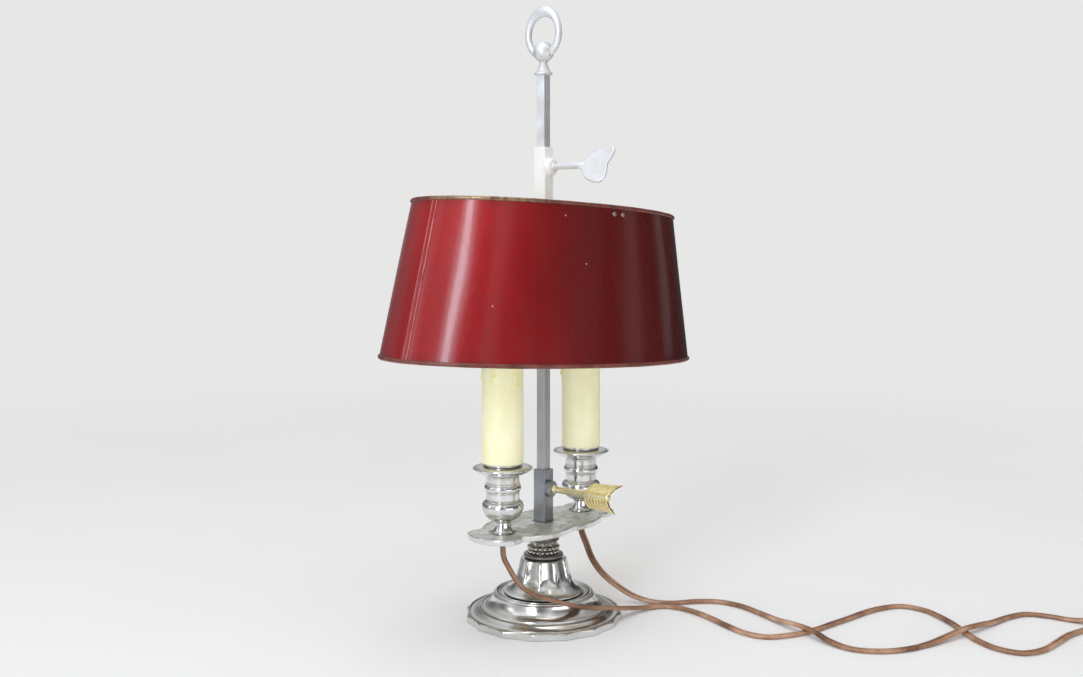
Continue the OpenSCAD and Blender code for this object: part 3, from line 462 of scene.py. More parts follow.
def eased(name, body, finish, source, width, segments=2):
    """A copy of a solid with its edges rounded over by width millimetres."""
    work = bmesh.new()
    work.from_mesh(nodes[source].data)
    bmesh.ops.remove_doubles(work, verts=work.verts, dist=SAME_PLACE)
    bmesh.ops.dissolve_limit(
        work, angle_limit=math.radians(0.6), verts=work.verts, edges=work.edges)
    piece = shown(bpy.data.meshes.new(name), work, EDGE_ANGLE)
    edge = piece.modifiers.new("edge", "BEVEL")
    edge.width, edge.segments, edge.limit_method = width * MM, segments, "ANGLE"
    edge.angle_limit, edge.harden_normals = math.radians(EDGE_ANGLE), True
    return dress(piece, body, finish, source)


# %% [markdown]
# The switch and plug are brown moulded plastic: nearly even in colour, glossy where hands rub
# it, with faint mould grain. The band on the coil is a paler strip.

# %% Finishes of the switch, plug and band
def moulded(name, slot, colour, low, high, grain_size=600):
    """Moulded plastic, its roughness wandering between low and high."""
    net = Finish(name, slot, Coat_Weight=0.15, Coat_Roughness=0.18)
    return net.wears(
        net.ramp(net.grain(55), (0.3, faded(colour, 0.82)), (0.7, faded(colour, 1.16))),
        net.ramp(net.grain(170), (0.35, low), (0.7, high)),
        (net.grain(grain_size, 3), 0.10, 0.0004))


brown_moulding = moulded("brown_moulding", "brown_plastic", srgb(84, 58, 42), 0.20, 0.38)
rocker_moulding = moulded("rocker_moulding", "rocker", srgb(150, 122, 92), 0.18, 0.32)
relief_rubber = moulded("relief_rubber", "soft_brown", srgb(70, 50, 38), 0.42, 0.60, 900)
band_plastic = moulded("band_plastic", "tie", srgb(212, 196, 158), 0.40, 0.55)

# %% Switch, plug and band
cover = eased("switch_top", "base", brown_moulding, "switch_cover", 0.5)
under = eased("switch_bottom", "base", brown_moulding, "switch_base", 0.4)
eased("switch_button", "rocker", rocker_moulding, "switch_rocker", 0.4)
plug = eased("plug", "base", brown_moulding, "plug_body", 1.2, 3)
relief = eased("plug_sleeve", "base", relief_rubber, "plug_relief", 0.15)
band = eased("coil_band", "base", band_plastic, "coil_tie", 0.15)

# %% Length of the cords
print("cord in all", round(long(left_line) + long(supply_line), 2), "m from the lamp to the plug")

# %% [markdown]
# ## Silver plate
# Hand-polished plate is never even: warm grey where it has tarnished a little, nearly black-brown
# in the hollows that the cloth misses, bright on every raised edge. The colour runs through a
# ramp on cloudy noise plus the hollows that each piece carries as a mark. Roughness wanders too,
# and very fine scratches break the reflections up.

# %% Silver finishes
def plate(name, bright, warm, dark, low, high, spots=0.5, clouds=0.30, metal=1.0, mottle=0.0,
          dull_below=None, slot="silver_plate"):
    """Bright metal that turns warm in clouds and dark in the marked hollows. Its roughness goes
    from low to high, and below a given height, in metres, the colour is painted darker as
    painted shade and dark reflection."""
    net = Finish(name, slot, Metallic=metal)
    cloud = net.grain(42, 6, 0.62, distortion=0.3)
    fine = net.grain(240, 4, 0.6)
    veil = net.plus(net.times(net.mark("hollow"), net.ramp(fine, (0.25, 0.55), (0.7, 1.0))),
                    net.ramp(cloud, (0.42, 0.0), (0.70, clouds)))
    if mottle:
        veil = net.plus(veil, net.ramp(fine, (0.44, 0.0), (0.62, mottle)))
    tint = net.ramp(veil, (0.0, bright), (0.28, warm), (0.85, dark))
    # below that height the colour is painted darker: painted shade and dark reflection
    if dull_below:
        height = net.times(net.add("SeparateXYZ", {0: net.place}).outputs["Z"], 2.0)
        under = net.ramp(height, (2 * dull_below - 0.06, 0.62), (2 * dull_below + 0.16, 0.0))
        tint = net.mixed(under, tint, faded(bright, 0.30))
    pits = net.ramp(net.grain(520, 2, 0.5), (0.66, 0.0), (0.74, spots))
    rub = net.ramp(net.grain(75, 5, 0.65), (0.3, low), (0.72, high))
    scratches = net.plus(
        net.times(net.grain(900, 2, stretch=(1, 1, 0.12)), 0.6), net.times(fine, 0.4))
    return net.wears(
        net.mixed(pits, tint, faded(warm, 0.55)), net.plus(rub, net.times(veil, 0.30)),
        (scratches, 0.10, 0.0003))


silver = plate(
    "silver_plate", (0.77, 0.775, 0.78), (0.58, 0.55, 0.49), (0.10, 0.08, 0.055),
    0.09, 0.24, clouds=0.16)
# the square bar is painted darker below the shade: painted shade and dark reflection
bar_silver = plate(
    "bar_plate", (0.84, 0.85, 0.88), (0.66, 0.65, 0.62), (0.12, 0.10, 0.07),
    0.28, 0.44, clouds=0.22, metal=0.8, dull_below=0.20)
# the lower sleeve's plate is painted dark blue grey: painted shade and dark reflection
painted_shade_silver = plate(
    "painted_shade_plate", (0.34, 0.36, 0.40), (0.27, 0.27, 0.25), (0.10, 0.085, 0.07),
    0.22, 0.40, 0.7, 0.25)
tray_silver = plate(
    "matted_plate", (0.82, 0.83, 0.79), (0.46, 0.46, 0.38), (0.10, 0.09, 0.06),
    0.26, 0.46, 0.9, 0.30, metal=0.72, mottle=0.16)
satin_silver = plate(
    "satin_plate", (0.80, 0.81, 0.84), (0.66, 0.65, 0.63), (0.25, 0.22, 0.18),
    0.36, 0.54, 0.3, 0.20, metal=0.6)
pale_silver = plate(
    "pale_plate", (0.90, 0.90, 0.89), (0.84, 0.82, 0.76), (0.40, 0.36, 0.30),
    0.42, 0.60, 0.3, 0.12, metal=0.25)
dark_ring = plate(
    "dark_ring", (0.30, 0.28, 0.27), (0.20, 0.17, 0.15), (0.05, 0.04, 0.03),
    0.24, 0.42, 0.8, 0.24, slot="dark_neck")
nickel = plate(
    "nickel", (0.76, 0.75, 0.72), (0.66, 0.63, 0.58), (0.30, 0.28, 0.25),
    0.20, 0.34, 0.3, 0.10, slot="nickel")

# %% [markdown]
# ## Turned pieces
# The base, the pedestal, the cups and the pans start as a profile of radius and height that is
# carried round an axis. Spinning a curve would do for plain ones. Working out the grid lets one
# function change the radius as it goes round, which gives the scallops, flutes, beads and leaves
# without any cutting.

# %% Profiles
BORE = 5.05                                        # the radius of the hole in the turned pieces


def bend(p, c, q, n=12):
    """A smooth bend from p to q, pulled towards c: (1-t)^2 p + 2t(1-t) c + t^2 q."""
    t = np.linspace(0, 1, n + 1)[:, None]
    return (1 - t) ** 2 * np.array(p) + 2 * t * (1 - t) * np.array(c) + t * t * np.array(q)


def arc(c, r, a, b, n=14):
    """Part of a circle about c, from angle a to angle b in degrees."""
    t = np.radians(np.linspace(a, b, n + 1))
    return np.array(c) + r * coords(np.cos(t), np.sin(t))


def bead(x, z, r):
    """A half-round bead, from its outer foot over to its inner foot."""
    return arc([x - r, z], r, 0, 180, 10)


def joined(*parts, step=1.2, ring=True):
    """Parts of a profile in a row, with points added where they are further apart than step."""
    p = np.vstack([np.atleast_2d(np.array(q, float)) for q in parts])
    ends = np.vstack([p[1:], p[:1]]) if ring else p[1:]
    line = [
        a + (b - a) * np.arange(k)[:, None] / k for a, b in zip(p, ends)
        for k in [max(1, int(np.ceil(np.linalg.norm(b - a) / step)))]]
    return np.vstack(line if ring else line + [p[-1:]])


def hollows(profile, reach=0.9, depth=0.28):
    """How deep each point lies in a hollow: its distance inside the average of the profile near it,
    weighted by exp(-(distance along / reach)^2), over depth, from 0 to 1."""
    p, following, before = profile, np.roll(profile, -1, 0), np.roll(profile, 1, 0)
    step = np.linalg.norm(following - p, axis=1)
    s = np.concatenate([[0], np.cumsum(step)[:-1]])
    weight = np.exp(-((s[:, None] - s[None, :]) / reach) ** 2) * (step + np.roll(step, 1))
    mean = (weight / weight.sum(1, keepdims=True)) @ p
    area = (p[:, 0] * following[:, 1] - following[:, 0] * p[:, 1]).sum()
    along = following - before
    out = unit(coords(along[:, 1], -along[:, 0]) * np.sign(area))
    return clamp(((mean - p) * out).sum(1) / depth)[:, None]


def turned(profile, columns, shape=None, at=(0, 0, 0)):
    """x = r cos a, y = r sin a, z = height, for each profile point and each angle a round the axis,
    which stands at that place. shape(r, z, a) gives a changed radius."""
    a, r, z = round_angles(columns), profile[:, :1], profile[:, 1:]
    if shape:
        r = shape(r, z, a)
    return coords(r * np.cos(a), r * np.sin(a), z) + at


# %% [markdown]
# ### The base
# Three steps rise to a dished seat, each with a bead round its edge, and the lowest has sixteen
# shallow scallops in its wall. Below the rim's bead the radius is limited to the near side of a
# circle of radius 67 mm that stands outside each scallop.

# %% Base
RIM, SCALLOP, WALL, WALL_TOP = 58.2, 67.0, 60.4, 5.4
RIM_FOOT = RIM - 0.4                               # where the wall meets the bead


def scalloped(r, z, a):
    """The foot of the wall is cut back to D cos d - sqrt(R^2 - D^2 sin^2 d), where d is the angle
    from the middle of the nearest scallop and D the distance of its circle. Going up, the scallops
    end under the round bead as sqrt(1 - (z / 5.4)^12)."""
    pitch = 2 * math.pi / 16
    a = a + math.radians(2)
    d = np.abs((a / pitch) - np.round(a / pitch)) * pitch
    far = RIM + SCALLOP
    hollow = far * np.cos(d) - np.sqrt(SCALLOP ** 2 - (far * np.sin(d)) ** 2)
    left = np.sqrt(clamp(1 - (z / WALL_TOP) ** 12))
    wall = RIM_FOOT + (np.minimum(WALL, hollow) - RIM_FOOT) * left
    return np.where(
        (z < WALL_TOP) & (r > RIM - 0.5), wall, np.where(z < 5.0, np.minimum(r, hollow), r))


base_profile = joined(
    [[55.6, 0.4], [60.0, 0.4], [WALL, 0.8], [WALL, 1.7], [60.3, 2.6], [60.2, 3.4], [60.1, 4.1],
     [60.0, 4.6], [59.7, 4.9], [59.3, 5.1], [58.8, 5.25], [58.3, 5.35], [RIM_FOOT, WALL_TOP]],
    bead(RIM, 5.6, 0.6), bend([RIM - 1.7, 5.3], [53.0, 5.0], [49.5, 8.0]),
    [[48.6, 8.2], [48.6, 9.4]], bead(48.6, 9.5, 0.8),
    bend([46.8, 9.7], [40.2, 10.6], [39.0, 18.4], 16), bead(38.2, 19.1, 1.3), [[35.1, 19.3]],
    bead(34.5, 19.7, 0.6), bend([32.8, 19.5], [31.0, 19.6], [28.0, 20.6]),
    [[BORE, 20.6], [BORE, 18.8], [14, 18.8], [36, 17.6], [37, 12], [44.5, 8], [52, 3.7],
     [55.6, 3.5]])
# by the rim's bead the tarnish mark is raised: a painted shade band under the bead
painted_shade_by_bead = (base_profile[:, 1:] > 4.3) & (base_profile[:, :1] > 57.7)
tarnish_and_painted_shade = clamp(hollows(base_profile) + 0.35 * painted_shade_by_bead)
made("stepped_foot", "base", silver, "base_foot",
     (turned(base_profile, 384, scalloped), True, tarnish_and_painted_shade), sharp=28)

# %% [markdown]
# ### The fluted pedestal
# The bell has ten broad flat flutes. Each is the near side of a leaning cone: along a ray at
# angle a and height h the radius is the smaller root of q r^2 + b r + c = 0, and the bell keeps
# whichever is less, the root or its own radius.

# %% Pedestal
FLUTE, FLUTE_TURN = math.radians(36), math.radians(5)


def fluted(r, z, a):
    """Radius limited by ten leaning cones, faded in over the lowest nine millimetres."""
    d = a + FLUTE_TURN
    d = d - (np.floor(d / FLUTE) + 0.5) * FLUTE
    lean, a0, r0, k = math.radians(21.4), 37.35, 16.9, 0.159     # the cone's lean, place and taper
    h = z - 26.5
    along_a, along_b = -math.sin(lean) * np.cos(d), a0 * math.sin(lean) + h * math.cos(lean)
    q = 1 - (1 + k * k) * along_a ** 2
    b = -2 * a0 * np.cos(d) - 2 * (1 + k * k) * along_a * along_b + 2 * r0 * k * along_a
    c = a0 ** 2 + h ** 2 - (1 + k * k) * along_b ** 2 + 2 * r0 * k * along_b - r0 ** 2
    inside = b * b - 4 * q * c
    root = np.where(inside > 0, (-b - np.sqrt(np.maximum(inside, 0))) / (2 * q), 99.0)
    fade = clamp((h + 2.0) / 9.0)
    fade = fade * fade * (3 - 2 * fade)
    return np.where(z > 45.2, r, r - fade * np.maximum(0, r - root))


bell = joined(
    [[BORE, 20.6], [30.2, 20.6], [31.0, 20.7], [31.2, 21.0]],
    bend([30.9, 21.3], [24.4, 22.2], [21.9, 30.0], 24),
    bend([21.8, 30.2], [19.6, 37.5], [18.3, 43.8], 30),
    bend([18.3, 43.9], [18.1, 45.4], [16.4, 45.8], 6), [[15.2, 46.0], [BORE, 46.0]], step=0.9)
angle = (round_angles(360) + FLUTE_TURN) % FLUTE
arris = np.exp(-(np.minimum(angle, FLUTE - angle) / 0.035) ** 2)     # the ridges stay bright
in_flute = clamp(hollows(bell) + 0.10 * (1 - arris) * (bell[:, 1:] > 27))
made("fluted_bell", "base", silver, "fluted_pedestal",
     (turned(bell, 360, fluted), True, in_flute), sharp=28)

# %% Dark neck ring
ring = joined(
    [[BORE, 46.0], [13.6, 46.0], [14.2, 46.5]], arc([13.9, 48.0], 1.5, -70, 80),
    [[12.6, 49.6], [BORE, 49.6]], step=0.7)
made("neck_band", "base", dark_ring, "neck_ring", (turned(ring, 144), True, hollows(ring)))

# %% [markdown]
# ### The beaded collar
# Two rows of beads stand under a cup of ten broad leaves. A bead is a small ball half sunk in the
# wall, so along a ray the radius is R cos d + sqrt(r^2 - dz^2 - R^2 sin^2 d). A leaf is a rounded
# swelling that widens upwards, with a rib down its middle.

# %% Collar
BEAD_R, LEAF_FOOT, LEAF_TOP = 1.3, 55.9, 60.5


def beaded(r, z, a):
    """Two rows of twenty balls and ten leaves on the plain collar."""
    pitch = 2 * math.pi / 20
    for place, level, start in ((11.1, 50.95, 0.0), (11.4, 54.0, 0.5)):
        d = (a / pitch - start - np.round(a / pitch - start)) * pitch
        room = BEAD_R ** 2 - (z - level) ** 2 - (place * np.sin(d)) ** 2
        ball = place * np.cos(d) + np.sqrt(np.maximum(room, 0))
        r = np.where(room > 0, np.maximum(r, ball), r)
    pitch = 2 * math.pi / 10
    d = np.abs(a / pitch - np.round(a / pitch)) * 2
    rise = clamp((z - LEAF_FOOT) / 4.4)
    leaf = np.sqrt(clamp(1 - (d / (0.35 + 0.62 * rise)) ** 2)) * np.sqrt(rise)
    leaf = leaf * (z < LEAF_TOP) * (z > LEAF_FOOT)
    return r + (1.6 * leaf + 0.35 * leaf * np.exp(-(d / 0.12) ** 2)) * (r > 9.0)


collar = joined(
    [[BORE, 49.6], [11.0, 49.6], [11.2, 52.0], [10.4, 52.4], [11.4, 52.8],
     [11.5, 55.3], [10.6, 55.7]], bend([10.4, 56.0], [9.6, 57.6], [10.6, 59.8]),
    [[11.4, 60.5], [11.4, 61.2], [11.1, 61.5], [9.6, 61.5], [9.6, 60.0],
     [BORE, 60.0]], step=0.22)
grid = turned(collar, 300, beaded)
depth = clamp(1 - (np.linalg.norm(grid[..., :2], axis=-1) - collar[:, :1]) / 1.1)
made("beaded_collar", "base", silver, "leaf_collar",
     (grid, True, 0.75 * depth * (collar[:, :1] > 9.7)), sharp=50)

# %% Square bar, its cap and the sleeves
eased("neck_plate", "base", silver, "neck_cap", 0.15)
eased("square_bar", "base", bar_silver, "stem_bar", 0.25, 3)
# the lower sleeve's dark plate is painted shade and dark reflection
eased("lower_sleeve", "tray", painted_shade_silver, "tray_sleeve", 0.45, 3)
eased("upper_sleeve", "shade", pale_silver, "shade_sleeve", 0.45, 3)
eased("tray_hub", "tray", silver, "tray_boss", 0.3)

# %% [markdown]
# ### The ring on top
# A small cone sits on the end of the bar, then a ball, and out of it rises an upright oval ring
# to lift the lamp by. The ring is a closed tube whose wire is stoutest at the top: its middle
# runs along (0, w cos a, h sin a) and its radius is 2.6 + 1.65 sin^3 a above the ball.

# %% Finial
BAR_TOP = (0, 0, 419.0)                            # heights below are counted from here
BALL_Z, BALL_R, RING_Z, RING_W, RING_H = 18, 8.1, 32, 15.0, 17.2
cone = joined(
    [[0, 0], [6.4, 0], [7.0, 0.4], [7.1, 0.9], [7.0, 1.5]],
    bend([6.4, 2.0], [4.4, 4.2], [3.1, 8.8]), [[0, 8.8]], step=0.7, ring=False)
made("finial_cone_turned", "base", satin_silver, "finial_cone",
     (turned(cone, 96, at=BAR_TOP), False, 0.8 * hollows(cone)))

stalk = joined(
    [[0, 8.8], [3.0, 8.8]], bend([3.0, 9.2], [2.8, 10.2], [4.4, 11.4]),
    arc([0, BALL_Z], BALL_R, -56, 90, 30), step=0.8, ring=False)
a, b = round_angles(120), round_angles(28)[:, None]
wire = (2.6 + 1.65 * np.maximum(0, np.sin(a)) ** 3)[:, None, None]
out = unit(coords(0, RING_H * np.cos(a), RING_W * np.sin(a)))[:, None, :]
middle = coords(0, RING_W * np.cos(a), RING_Z + RING_H * np.sin(a))[:, None, :]
loop = middle + wire * (np.cos(b) * out + np.sin(b) * [1.0, 0, 0])
near_ball = np.exp(-((np.linalg.norm(loop - [0, 0, BALL_Z], axis=-1) - BALL_R) / 0.9) ** 2)
made("lifting_ring", "base", satin_silver, "ring_finial",
     (turned(stalk, 96, at=BAR_TOP), False, hollows(stalk)),
     (loop + BAR_TOP, True, 0.55 * near_ball), sharp=50)

# %% [markdown]
# ### The tray
# The tray's outline has two long lobes a side, notched in the middle, and a squared lobe at each
# end. Seen from the stem it is one radius for every angle: the furthest point in any lobe, each
# lobe being what two circles share. The plate is a closed ring of rows from the square hole over
# the top, round the eased edge, down the skirt and back underneath.

# %% Tray
CUP_X, TRAY_TOP = 48.0, 74.0


def crossings(angle, x, y, r):
    """How far along each ray from the stem the circle of radius r about (x, y) is entered, and how
    far it is left again; 999 and 0 where it is missed."""
    along = x * np.cos(angle) + y * np.sin(angle)
    inside = r * r - (x * x + y * y - along ** 2)
    half = np.sqrt(np.maximum(inside, 0))
    return np.where(inside > 0, along - half, 999.0), np.where(inside > 0, along + half, 0.0)


def tray_edge(angle, inset):
    """The tray's radius at each angle, with every circle made smaller by inset."""
    best = 0 * angle
    for sx in (-1, 1):
        front, back = (crossings(angle, 17 * sx, y, 50 - inset)[1] for y in (-18.3, 18.3))
        best = np.maximum(best, np.minimum(front, back))
        for y in (-6, 6):
            wide = crossings(angle, 42.5 * sx, 0, 30 - inset)
            small = crossings(angle, 58 * sx, y, 16 - inset)
            start, end = np.maximum(wide[0], small[0]), np.minimum(wide[1], small[1])
            best = np.maximum(best, np.where(end > start, end, 0))
    return best


angle = round_angles(960)
hole = 3.85 / np.maximum(np.abs(np.cos(angle)), np.abs(np.sin(angle)))
# a row is a radius at each angle, a height and its tarnish: the top, the edge, the underside
rows = [(hole + (tray_edge(angle, 2.4) - hole) * share, TRAY_TOP, 0.0)
        for share in np.linspace(0, 1, 26)]
rows += [(tray_edge(angle, inset), z, dark) for inset, z, dark in (
    (2.1, 73.88, 0.5), (1.8, 73.9, 0.3), (1.3, 74.0, 0), (0.7, 74.0, 0), (0.3, 73.9, 0),
    (0.08, 73.7, 0), (0.0, 73.3, 0), (0.0, 72.2, 0), (0.0, 71.0, 0), (0.1, 70.0, 0),
    (0.35, 69.8, 0), (1.3, 69.8, 0.1), (1.6, 70.1, 0.5), (1.6, 71.6, 0.9), (2.0, 72.0, 0.9))]
rows += [(hole + (tray_edge(angle, 2.0) - hole) * share, 72.0, 0.35)
         for share in np.linspace(0.95, 0, 12)]
grid = np.stack([coords(r * np.cos(angle), r * np.sin(angle), z) for r, z, _ in rows])
x, y = grid[..., 0], grid[..., 1]
tarnish = np.array([dark for _, _, dark in rows])[:, None] + 0 * x
square = np.maximum(np.abs(x), np.abs(y))
# dark rings stay round the foot of each cup and round the sleeve
for off, foot, width, dark in ((np.hypot(x + CUP_X, y), 8.8, 1.3, 0.75),
                               (np.hypot(x - CUP_X, y), 8.8, 1.3, 0.75), (square, 5.9, 1.0, 0.8)):
    ring = dark * np.exp(-((off - foot) / width) ** 2)
    tarnish = np.maximum(tarnish, ring * (grid[..., 2] > TRAY_TOP - 1))
tray = made("tray_with_lobes", "tray", tray_silver, "tray_plate", (grid, True, tarnish), sharp=42)
second_finish(tray, silver, lambda middle, normal: middle[:, 2] < 0.07385)    # a polished skirt

# %% [markdown]
# ### Cups and drip pans
# Both cups come from one profile and both pans from another. The fine grooves between the
# mouldings carry the tarnish mark, as do the faint rings that the lathe tool left on the barrel.

# %% Cups and pans
SIDES = (("left", -CUP_X), ("right", CUP_X))
PAN_Z, BULB_Z = 116.5, 208.6


def pair(name, finish, node, profile, columns, z, ring, marks=0.0, sharp=38):
    """The same turned piece twice, standing at height z about the middle of each light."""
    for side, x in SIDES:
        made(side + name, "tray", finish, side + node,
             (turned(profile, columns, at=(x, 0, z)), ring, marks), sharp=sharp)


cup = joined(
    [[BORE, 0], [7.9, 0], [8.1, 0.3], [8.0, 0.7]],
    bend([7.6, 1.0], [6.1, 2.2], [5.7, 8.0], 12), bead(6.5, 8.7, 0.4),
    bend([6.4, 9.2], [10.4, 9.6], [12.5, 12.4], 14), [[13.0, 12.9], [12.8, 13.2]],
    bend([13.1, 13.4], [17.0, 18.4], [14.7, 22.6], 20), [[14.1, 23.1], [13.5, 23.3]],
    bend([13.3, 23.4], [13.0, 24.0], [12.3, 24.6], 8),
    [[12.3, 30.1], [12.6, 30.3], [12.7, 30.5], [12.7, 31.0]],
    bend([13.0, 31.3], [14.6, 33.4], [12.9, 35.6], 14),
    [[12.6, 35.9], [12.6, 36.8], [12.3, 37.1], [12.3, 41.2]],
    bend([12.3, 41.5], [12.4, 42.2], [12.8, 42.5], 4),
    [[10.2, 42.5], [10.2, 24], [12.0, 19.4], [11.4, 15.4], [6.2, 11.2], [BORE, 10.6]], step=0.55)
pan = joined(
    [[BORE, 0], [12.6, 0]], bend([13.2, 0.2], [19.0, 2.2], [21.7, 4.6], 16),
    arc([21.6, 5.35], 0.75, -60, 110, 12), [[21.0, 6.0], [20.7, 5.75], [20.3, 5.95]],
    bend([20.1, 6.1], [17.0, 6.9], [14.4, 7.1], 10),
    [[14.0, 7.3], [14.0, 9.1], [13.0, 9.1], [12.6, 2.2], [9.0, 2.2], [8.6, 1.8],
     [BORE, 1.8]], step=0.6)
r, z = cup[:, :1], cup[:, 1:]
lathe_rings = 0.14 * (np.sin(z * 9.0) > 0.93) * (r > 11.0) * (z > 25)
pair("_candle_cup", silver, "_cup", cup, 144, TRAY_TOP, True,
     clamp(hollows(cup) + lathe_rings), 34)
r, z = pan[:, :1], pan[:, 1:]
# painted shade: the pan is darker round the collar, under the candle's foot
painted_shade_by_collar = 0.15 * (r < 14.6) * (r > 13.2) * (z > 6.8)
pair("_pan", silver, "_drip_pan", pan, 144, PAN_Z, True, clamp(hollows(pan) + painted_shade_by_collar), 34)

# %% [markdown]
# ### Candle sleeves
# The candles are ivory tubes that slip over the lampholders. Wax runs down from the top: each run
# adds to the radius a rounded ridge that ends in a drop. The finish lets a little light in, is
# faintly mottled, and is yellower where the runs are thick.

# %% Candle finish
net = Finish(
    "candle_wax", "candle", Subsurface_Weight=0.18, Subsurface_Scale=0.004,
    Subsurface_Radius=(1.0, 0.8, 0.4), Roughness=0.42, Coat_Weight=0.10, Coat_Roughness=0.30)
tone = net.ramp(
    net.grain(60, 5, 0.6, stretch=(1, 1, 0.5)), (0.30, srgb(238, 231, 184)),
    (0.55, srgb(243, 239, 200)), (0.75, srgb(248, 245, 217)))
tone = net.mixed(net.times(net.mark("run"), 0.8), tone, srgb(236, 222, 132))
spots = net.ramp(net.grain(150, 4, 0.7), (0.64, 0.0), (0.74, 0.22))
candle_wax = net.wears(
    net.mixed(spots, tone, srgb(214, 198, 144)), relief=(net.grain(210), 0.16, 0.0008))

# %% Candles
CANDLE_R, CANDLE_FOOT, CANDLE_TOP = 15.45, 125.7, 212
left_runs = [
    (190, 187, 1.1), (198, 191, 1.0), (262, 184, 1.5), (236, 204, 1.1), (300, 200, 1.2),
    (20, 192, 1.3), (75, 205, 1.2), (130, 188, 1.4)]
right_runs = [
    (134, 184, 1.7), (180, 201, 1.1), (196, 196, 1.0), (229, 203, 1.2), (268, 197, 1.2),
    (330, 190, 1.4), (25, 204, 1.2), (80, 195, 1.3)]


def dripping(runs):
    """A shape that adds to the outer wall, for each run given by its direction, the height of its
    end and its size, h sqrt(1 - (across / w)^2) above its drop, thicker at the drop itself."""
    def shape(r, z, a):
        swell = 0 * r
        for direction, low, size in runs:
            d = (a - math.radians(direction) + math.pi) % (2 * math.pi) - math.pi
            across = 15.4 * d / (1.25 * size)
            above = (z - low) / size
            body = np.sqrt(clamp(1 - across ** 2)) * (0.45 + 0.55 * np.exp(-(above / 1.6) ** 2))
            drop = np.sqrt(clamp(1 - across ** 2 - np.minimum(above, 0) ** 2))
            swell = np.maximum(swell, size * 0.85 * np.where(above > 0, body, drop))
        return r + (r > 14.6) * (swell + 0.05 * np.sin(3 * a + 0.11 * z) - 0.05)
    return shape


tube = np.vstack([
    joined([[13.8, CANDLE_FOOT], [15.3, CANDLE_FOOT], [15.5, 126.0], [CANDLE_R, 180.0]],
           step=1.3, ring=False),
    joined([[CANDLE_R, 180.2], [15.4, 209.6]],
           bend([15.4, 210], [15.6, CANDLE_TOP], [14.5, CANDLE_TOP], 6),
           [[14.0, 211.6], [13.8, 210]], step=0.35, ring=False),
    joined([[13.8, 208.0], [13.8, 126.6]], step=6.0, ring=False)])
r, z = tube[:, :1], tube[:, 1:]
for (side, x), runs in zip(SIDES, (left_runs, right_runs)):
    wax = clamp(dripping(runs)(r, z, round_angles(240)) - r) * (r > 14)
    made(side + "_candle_sleeve", "tray", candle_wax, side + "_candle",
         (turned(tube, 240, dripping(runs), (x, 0, 0)), True, wax), sharp=60, mark="run")

# %% [markdown]
# ### Bulbs
# Each light has a frosted candle bulb, seen only from above. Its glass is milky: mostly a soft
# white body, with a little light let through.

# %% Bulbs
net = Finish(
    "frosted_glass", "bulb", IOR=1.5, Transmission_Weight=0.35, Coat_Weight=0.3, Coat_Roughness=0.1)
frosted = net.wears(
    net.ramp(net.grain(40, 3), (0.3, (0.86, 0.86, 0.84)), (0.7, (0.95, 0.95, 0.93))),
    net.ramp(net.grain(500, 2), (0.3, 0.38), (0.7, 0.5)))
bulb = joined(
    [[0, 0], [6.2, 0]], bend([6.8, 0.4], [8.6, 12], [14.2, 22], 20),
    bend([14.4, 22.4], [18.7, 30], [17.0, 38], 20), bend([16.8, 38.8], [13.6, 58], [4.6, 74], 26),
    bend([4.2, 74.8], [2.2, 79], [0, 79], 8), step=1.5, ring=False)
pair("_candle_bulb", frosted, "_bulb", bulb, 96, BULB_Z, False, sharp=50)

# %% [markdown]
# ### The arrow
# The screw that clamps the tray is shaped as an arrow: a thin shaft with two feathers. A feather
# is a net of barbs that leave the shaft and sweep back, so it blends a front edge into a tail
# edge, and its relief is a row of ridges along the barbs. The whole is worked out along X and
# then turned to point along -Y, rolled about its own shaft.

# %% Finish of the arrow
net = Finish("pale_gold", "pale_gold", Metallic=1.0)
veil = net.plus(
    net.times(net.mark("hollow"), net.ramp(net.grain(330), (0.2, 0.6), (0.7, 1.0))),
    net.ramp(net.grain(110, 5, 0.6), (0.5, 0.0), (0.8, 0.25)))
pale_gold = net.wears(
    net.ramp(veil, (0.0, (0.95, 0.87, 0.56)), (0.3, (0.80, 0.64, 0.27)),
             (0.9, (0.14, 0.09, 0.03))),
    net.ramp(net.grain(170), (0.3, 0.24), (0.7, 0.42)), (net.grain(800, 3), 0.14, 0.0003))

# %% Turning a clamp screw's parts into place
BOSS = 10.15                                       # how far a screw boss stands from the stem
ARROW_AT, KEY_AT = (99.5, 27), (347.6, 32)         # the height of a screw, and its roll in degrees


def pointing(grid, height, roll):
    """Drawn with the shaft along X; rolled about it, then X becomes -Y at that height."""
    s, c = math.sin(math.radians(-roll)), math.cos(math.radians(-roll))
    x, y, z = grid[..., 0], grid[..., 1] * c - grid[..., 2] * s, grid[..., 1] * s + grid[..., 2] * c
    return coords(y, -x, z + height)


def spun(profile):
    """A profile of (distance along X, radius) turned about the X axis."""
    along, radius, a = profile[:, :1], profile[:, 1:], round_angles(48)
    return coords(along, radius * np.cos(a), radius * np.sin(a))


